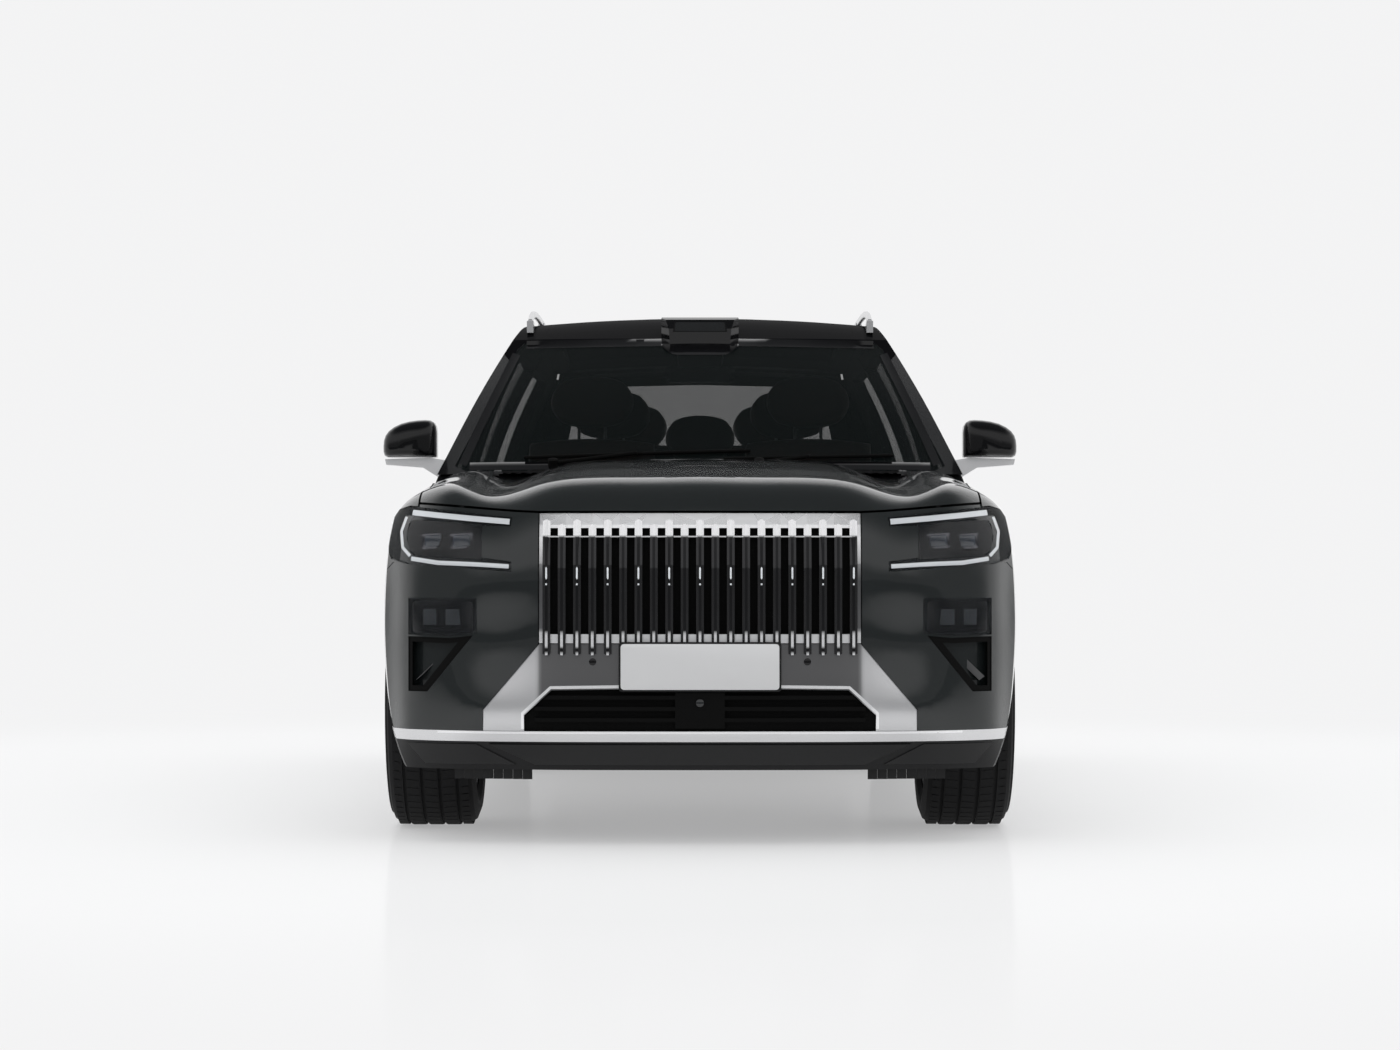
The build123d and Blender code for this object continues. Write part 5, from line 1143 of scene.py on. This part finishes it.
class CROSSOVER_OT_roof(bpy.types.Operator):
    """Sensor window and roof aerial"""
    bl_idname = "crossover.roof"
    bl_label = "Roof fittings"

    def execute(self, context):
        window, aerial = Heap(), Heap()
        patch(window, Skin("sensor_pod"), "front", rounded(POD_WINDOW, 0.006), 0.002, 0.003, 0.02)
        window.keep("sensor_window", "screen_black")
        roof = Skin("body_shell", "roof_glass")
        rings = []
        for y, half, rise in AERIAL_SECTIONS:
            z = lay_point(roof, "top", 0, y, -0.001).z
            rings.append([(-half, y, z), (half, y, z), (half * 0.3, y, z + rise), (-half * 0.3, y, z + rise)])
        aerial.loft(rings)
        aerial.keep("roof_aerial", "gloss_black")
        return {"FINISHED"}


# --- stage ---
# name, place, turn in degrees, size and power
LAMPS = (("key_top", (0, 0, 7), (0, 0, 0), (9, 12), 330), ("fill_front", (0, -10, 5), (60, 0, 0), (10, 3), 120),
         ("side_left", (8, 0, 3), (0, 70, 0), (3, 10), 115), ("side_right", (-8, 0, 3), (0, -70, 0), (3, 10), 115),
         ("back", (0, 9, 4), (-62, 0, 0), (9, 3), 80))
FLOOR_HALF, FLOOR_Z = 60.0, -0.0022
WORLD_COLOUR, WORLD_STRENGTH = (0.86, 0.87, 0.88, 1), 0.82
CAMERA_LENS, CAMERA_SENSOR, CAMERA_SHIFT = 92.2, 36, 0.0286


class CROSSOVER_OT_stage(bpy.types.Operator):
    """Floor, backdrop, soft lights, world and camera"""
    bl_idname = "crossover.stage"
    bl_label = "Stage"

    def execute(self, context):
        stage = settings()[2]
        scene = context.scene

        def linked(name, data):
            made = bpy.data.objects.new(name, data)
            scene.collection.objects.link(made)
            return made

        floor_mesh = bpy.data.meshes.new("stage_floor")
        floor_mesh.from_pydata(plank(0, FLOOR_HALF, -FLOOR_HALF, FLOOR_HALF, FLOOR_Z), [], [(0, 1, 2, 3)])
        floor = linked("stage_floor", floor_mesh)
        floor_mesh.materials.append(stage_white())
        for name, place, turn, size, power in LAMPS:
            light = bpy.data.lights.new(name, "AREA")
            light.shape = "RECTANGLE"
            light.size, light.size_y = size
            light.energy = power
            lamp = linked(name, light)
            lamp.location = place
            lamp.rotation_euler = [math.radians(t) for t in turn]
            lamp.visible_glossy = False
        world = bpy.data.worlds.new("studio")
        graph = Graph(world)
        plain = graph.nodes["Background"]
        graph.feed(plain.inputs["Color"], WORLD_COLOUR)
        graph.feed(plain.inputs["Strength"], WORLD_STRENGTH)
        pale = graph.node("Background", {"Color": graph.studio(dim_walls(graph))})
        surface = graph.mixed(graph.rays(*SEEN), plain.outputs["Background"], pale.outputs["Background"])
        graph.feed(graph.nodes["World Output"].inputs["Surface"], surface)
        scene.world = world
        scene.view_settings.view_transform = "Standard"
        camera_data = bpy.data.cameras.new("camera")
        camera_data.lens = CAMERA_LENS
        camera_data.sensor_width = CAMERA_SENSOR
        camera_data.shift_y = CAMERA_SHIFT
        camera = linked("camera", camera_data)
        camera.location = (0, -stage.camera_distance, stage.camera_height)
        camera.rotation_euler = (math.radians(90), 0, 0)
        scene.camera = camera
        return {"FINISHED"}


OPERATORS = (CROSSOVER_OT_finishes, CROSSOVER_OT_grille, CROSSOVER_OT_headlamps, CROSSOVER_OT_plates, CROSSOVER_OT_nose,
             CROSSOVER_OT_screen, CROSSOVER_OT_sides, CROSSOVER_OT_wheels, CROSSOVER_OT_seats, CROSSOVER_OT_cabin,
             CROSSOVER_OT_rear, CROSSOVER_OT_roof, CROSSOVER_OT_stage)


class CROSSOVER_PT_panel(bpy.types.Panel):
    """Lists the settings and the operators"""
    bl_idname = "CROSSOVER_PT_panel"
    bl_label = "Crossover"
    bl_space_type = "VIEW_3D"
    bl_region_type = "UI"
    bl_category = "Crossover"

    def draw(self, context):
        for group in settings():
            for name in group.__annotations__:
                self.layout.prop(group, name)
        for operator in OPERATORS:
            self.layout.operator(operator.bl_idname)


GROUPS = (("crossover_paint", CrossoverPaint), ("crossover_sizes", CrossoverSizes), ("crossover_stage", CrossoverStage))


def register():
    for name, group in GROUPS:
        bpy.utils.register_class(group)
        setattr(bpy.types.Scene, name, PointerProperty(type=group))
    for made in OPERATORS + (CROSSOVER_PT_panel,):
        bpy.utils.register_class(made)


def unregister():
    for made in reversed(OPERATORS + (CROSSOVER_PT_panel,)):
        bpy.utils.unregister_class(made)
    for name, group in reversed(GROUPS):
        delattr(bpy.types.Scene, name)
        bpy.utils.unregister_class(group)


def main():
    register()
    for operator in OPERATORS:
        package, name = operator.bl_idname.split(".")
        getattr(getattr(bpy.ops, package), name)()


if __name__ == "__main__":
    main()
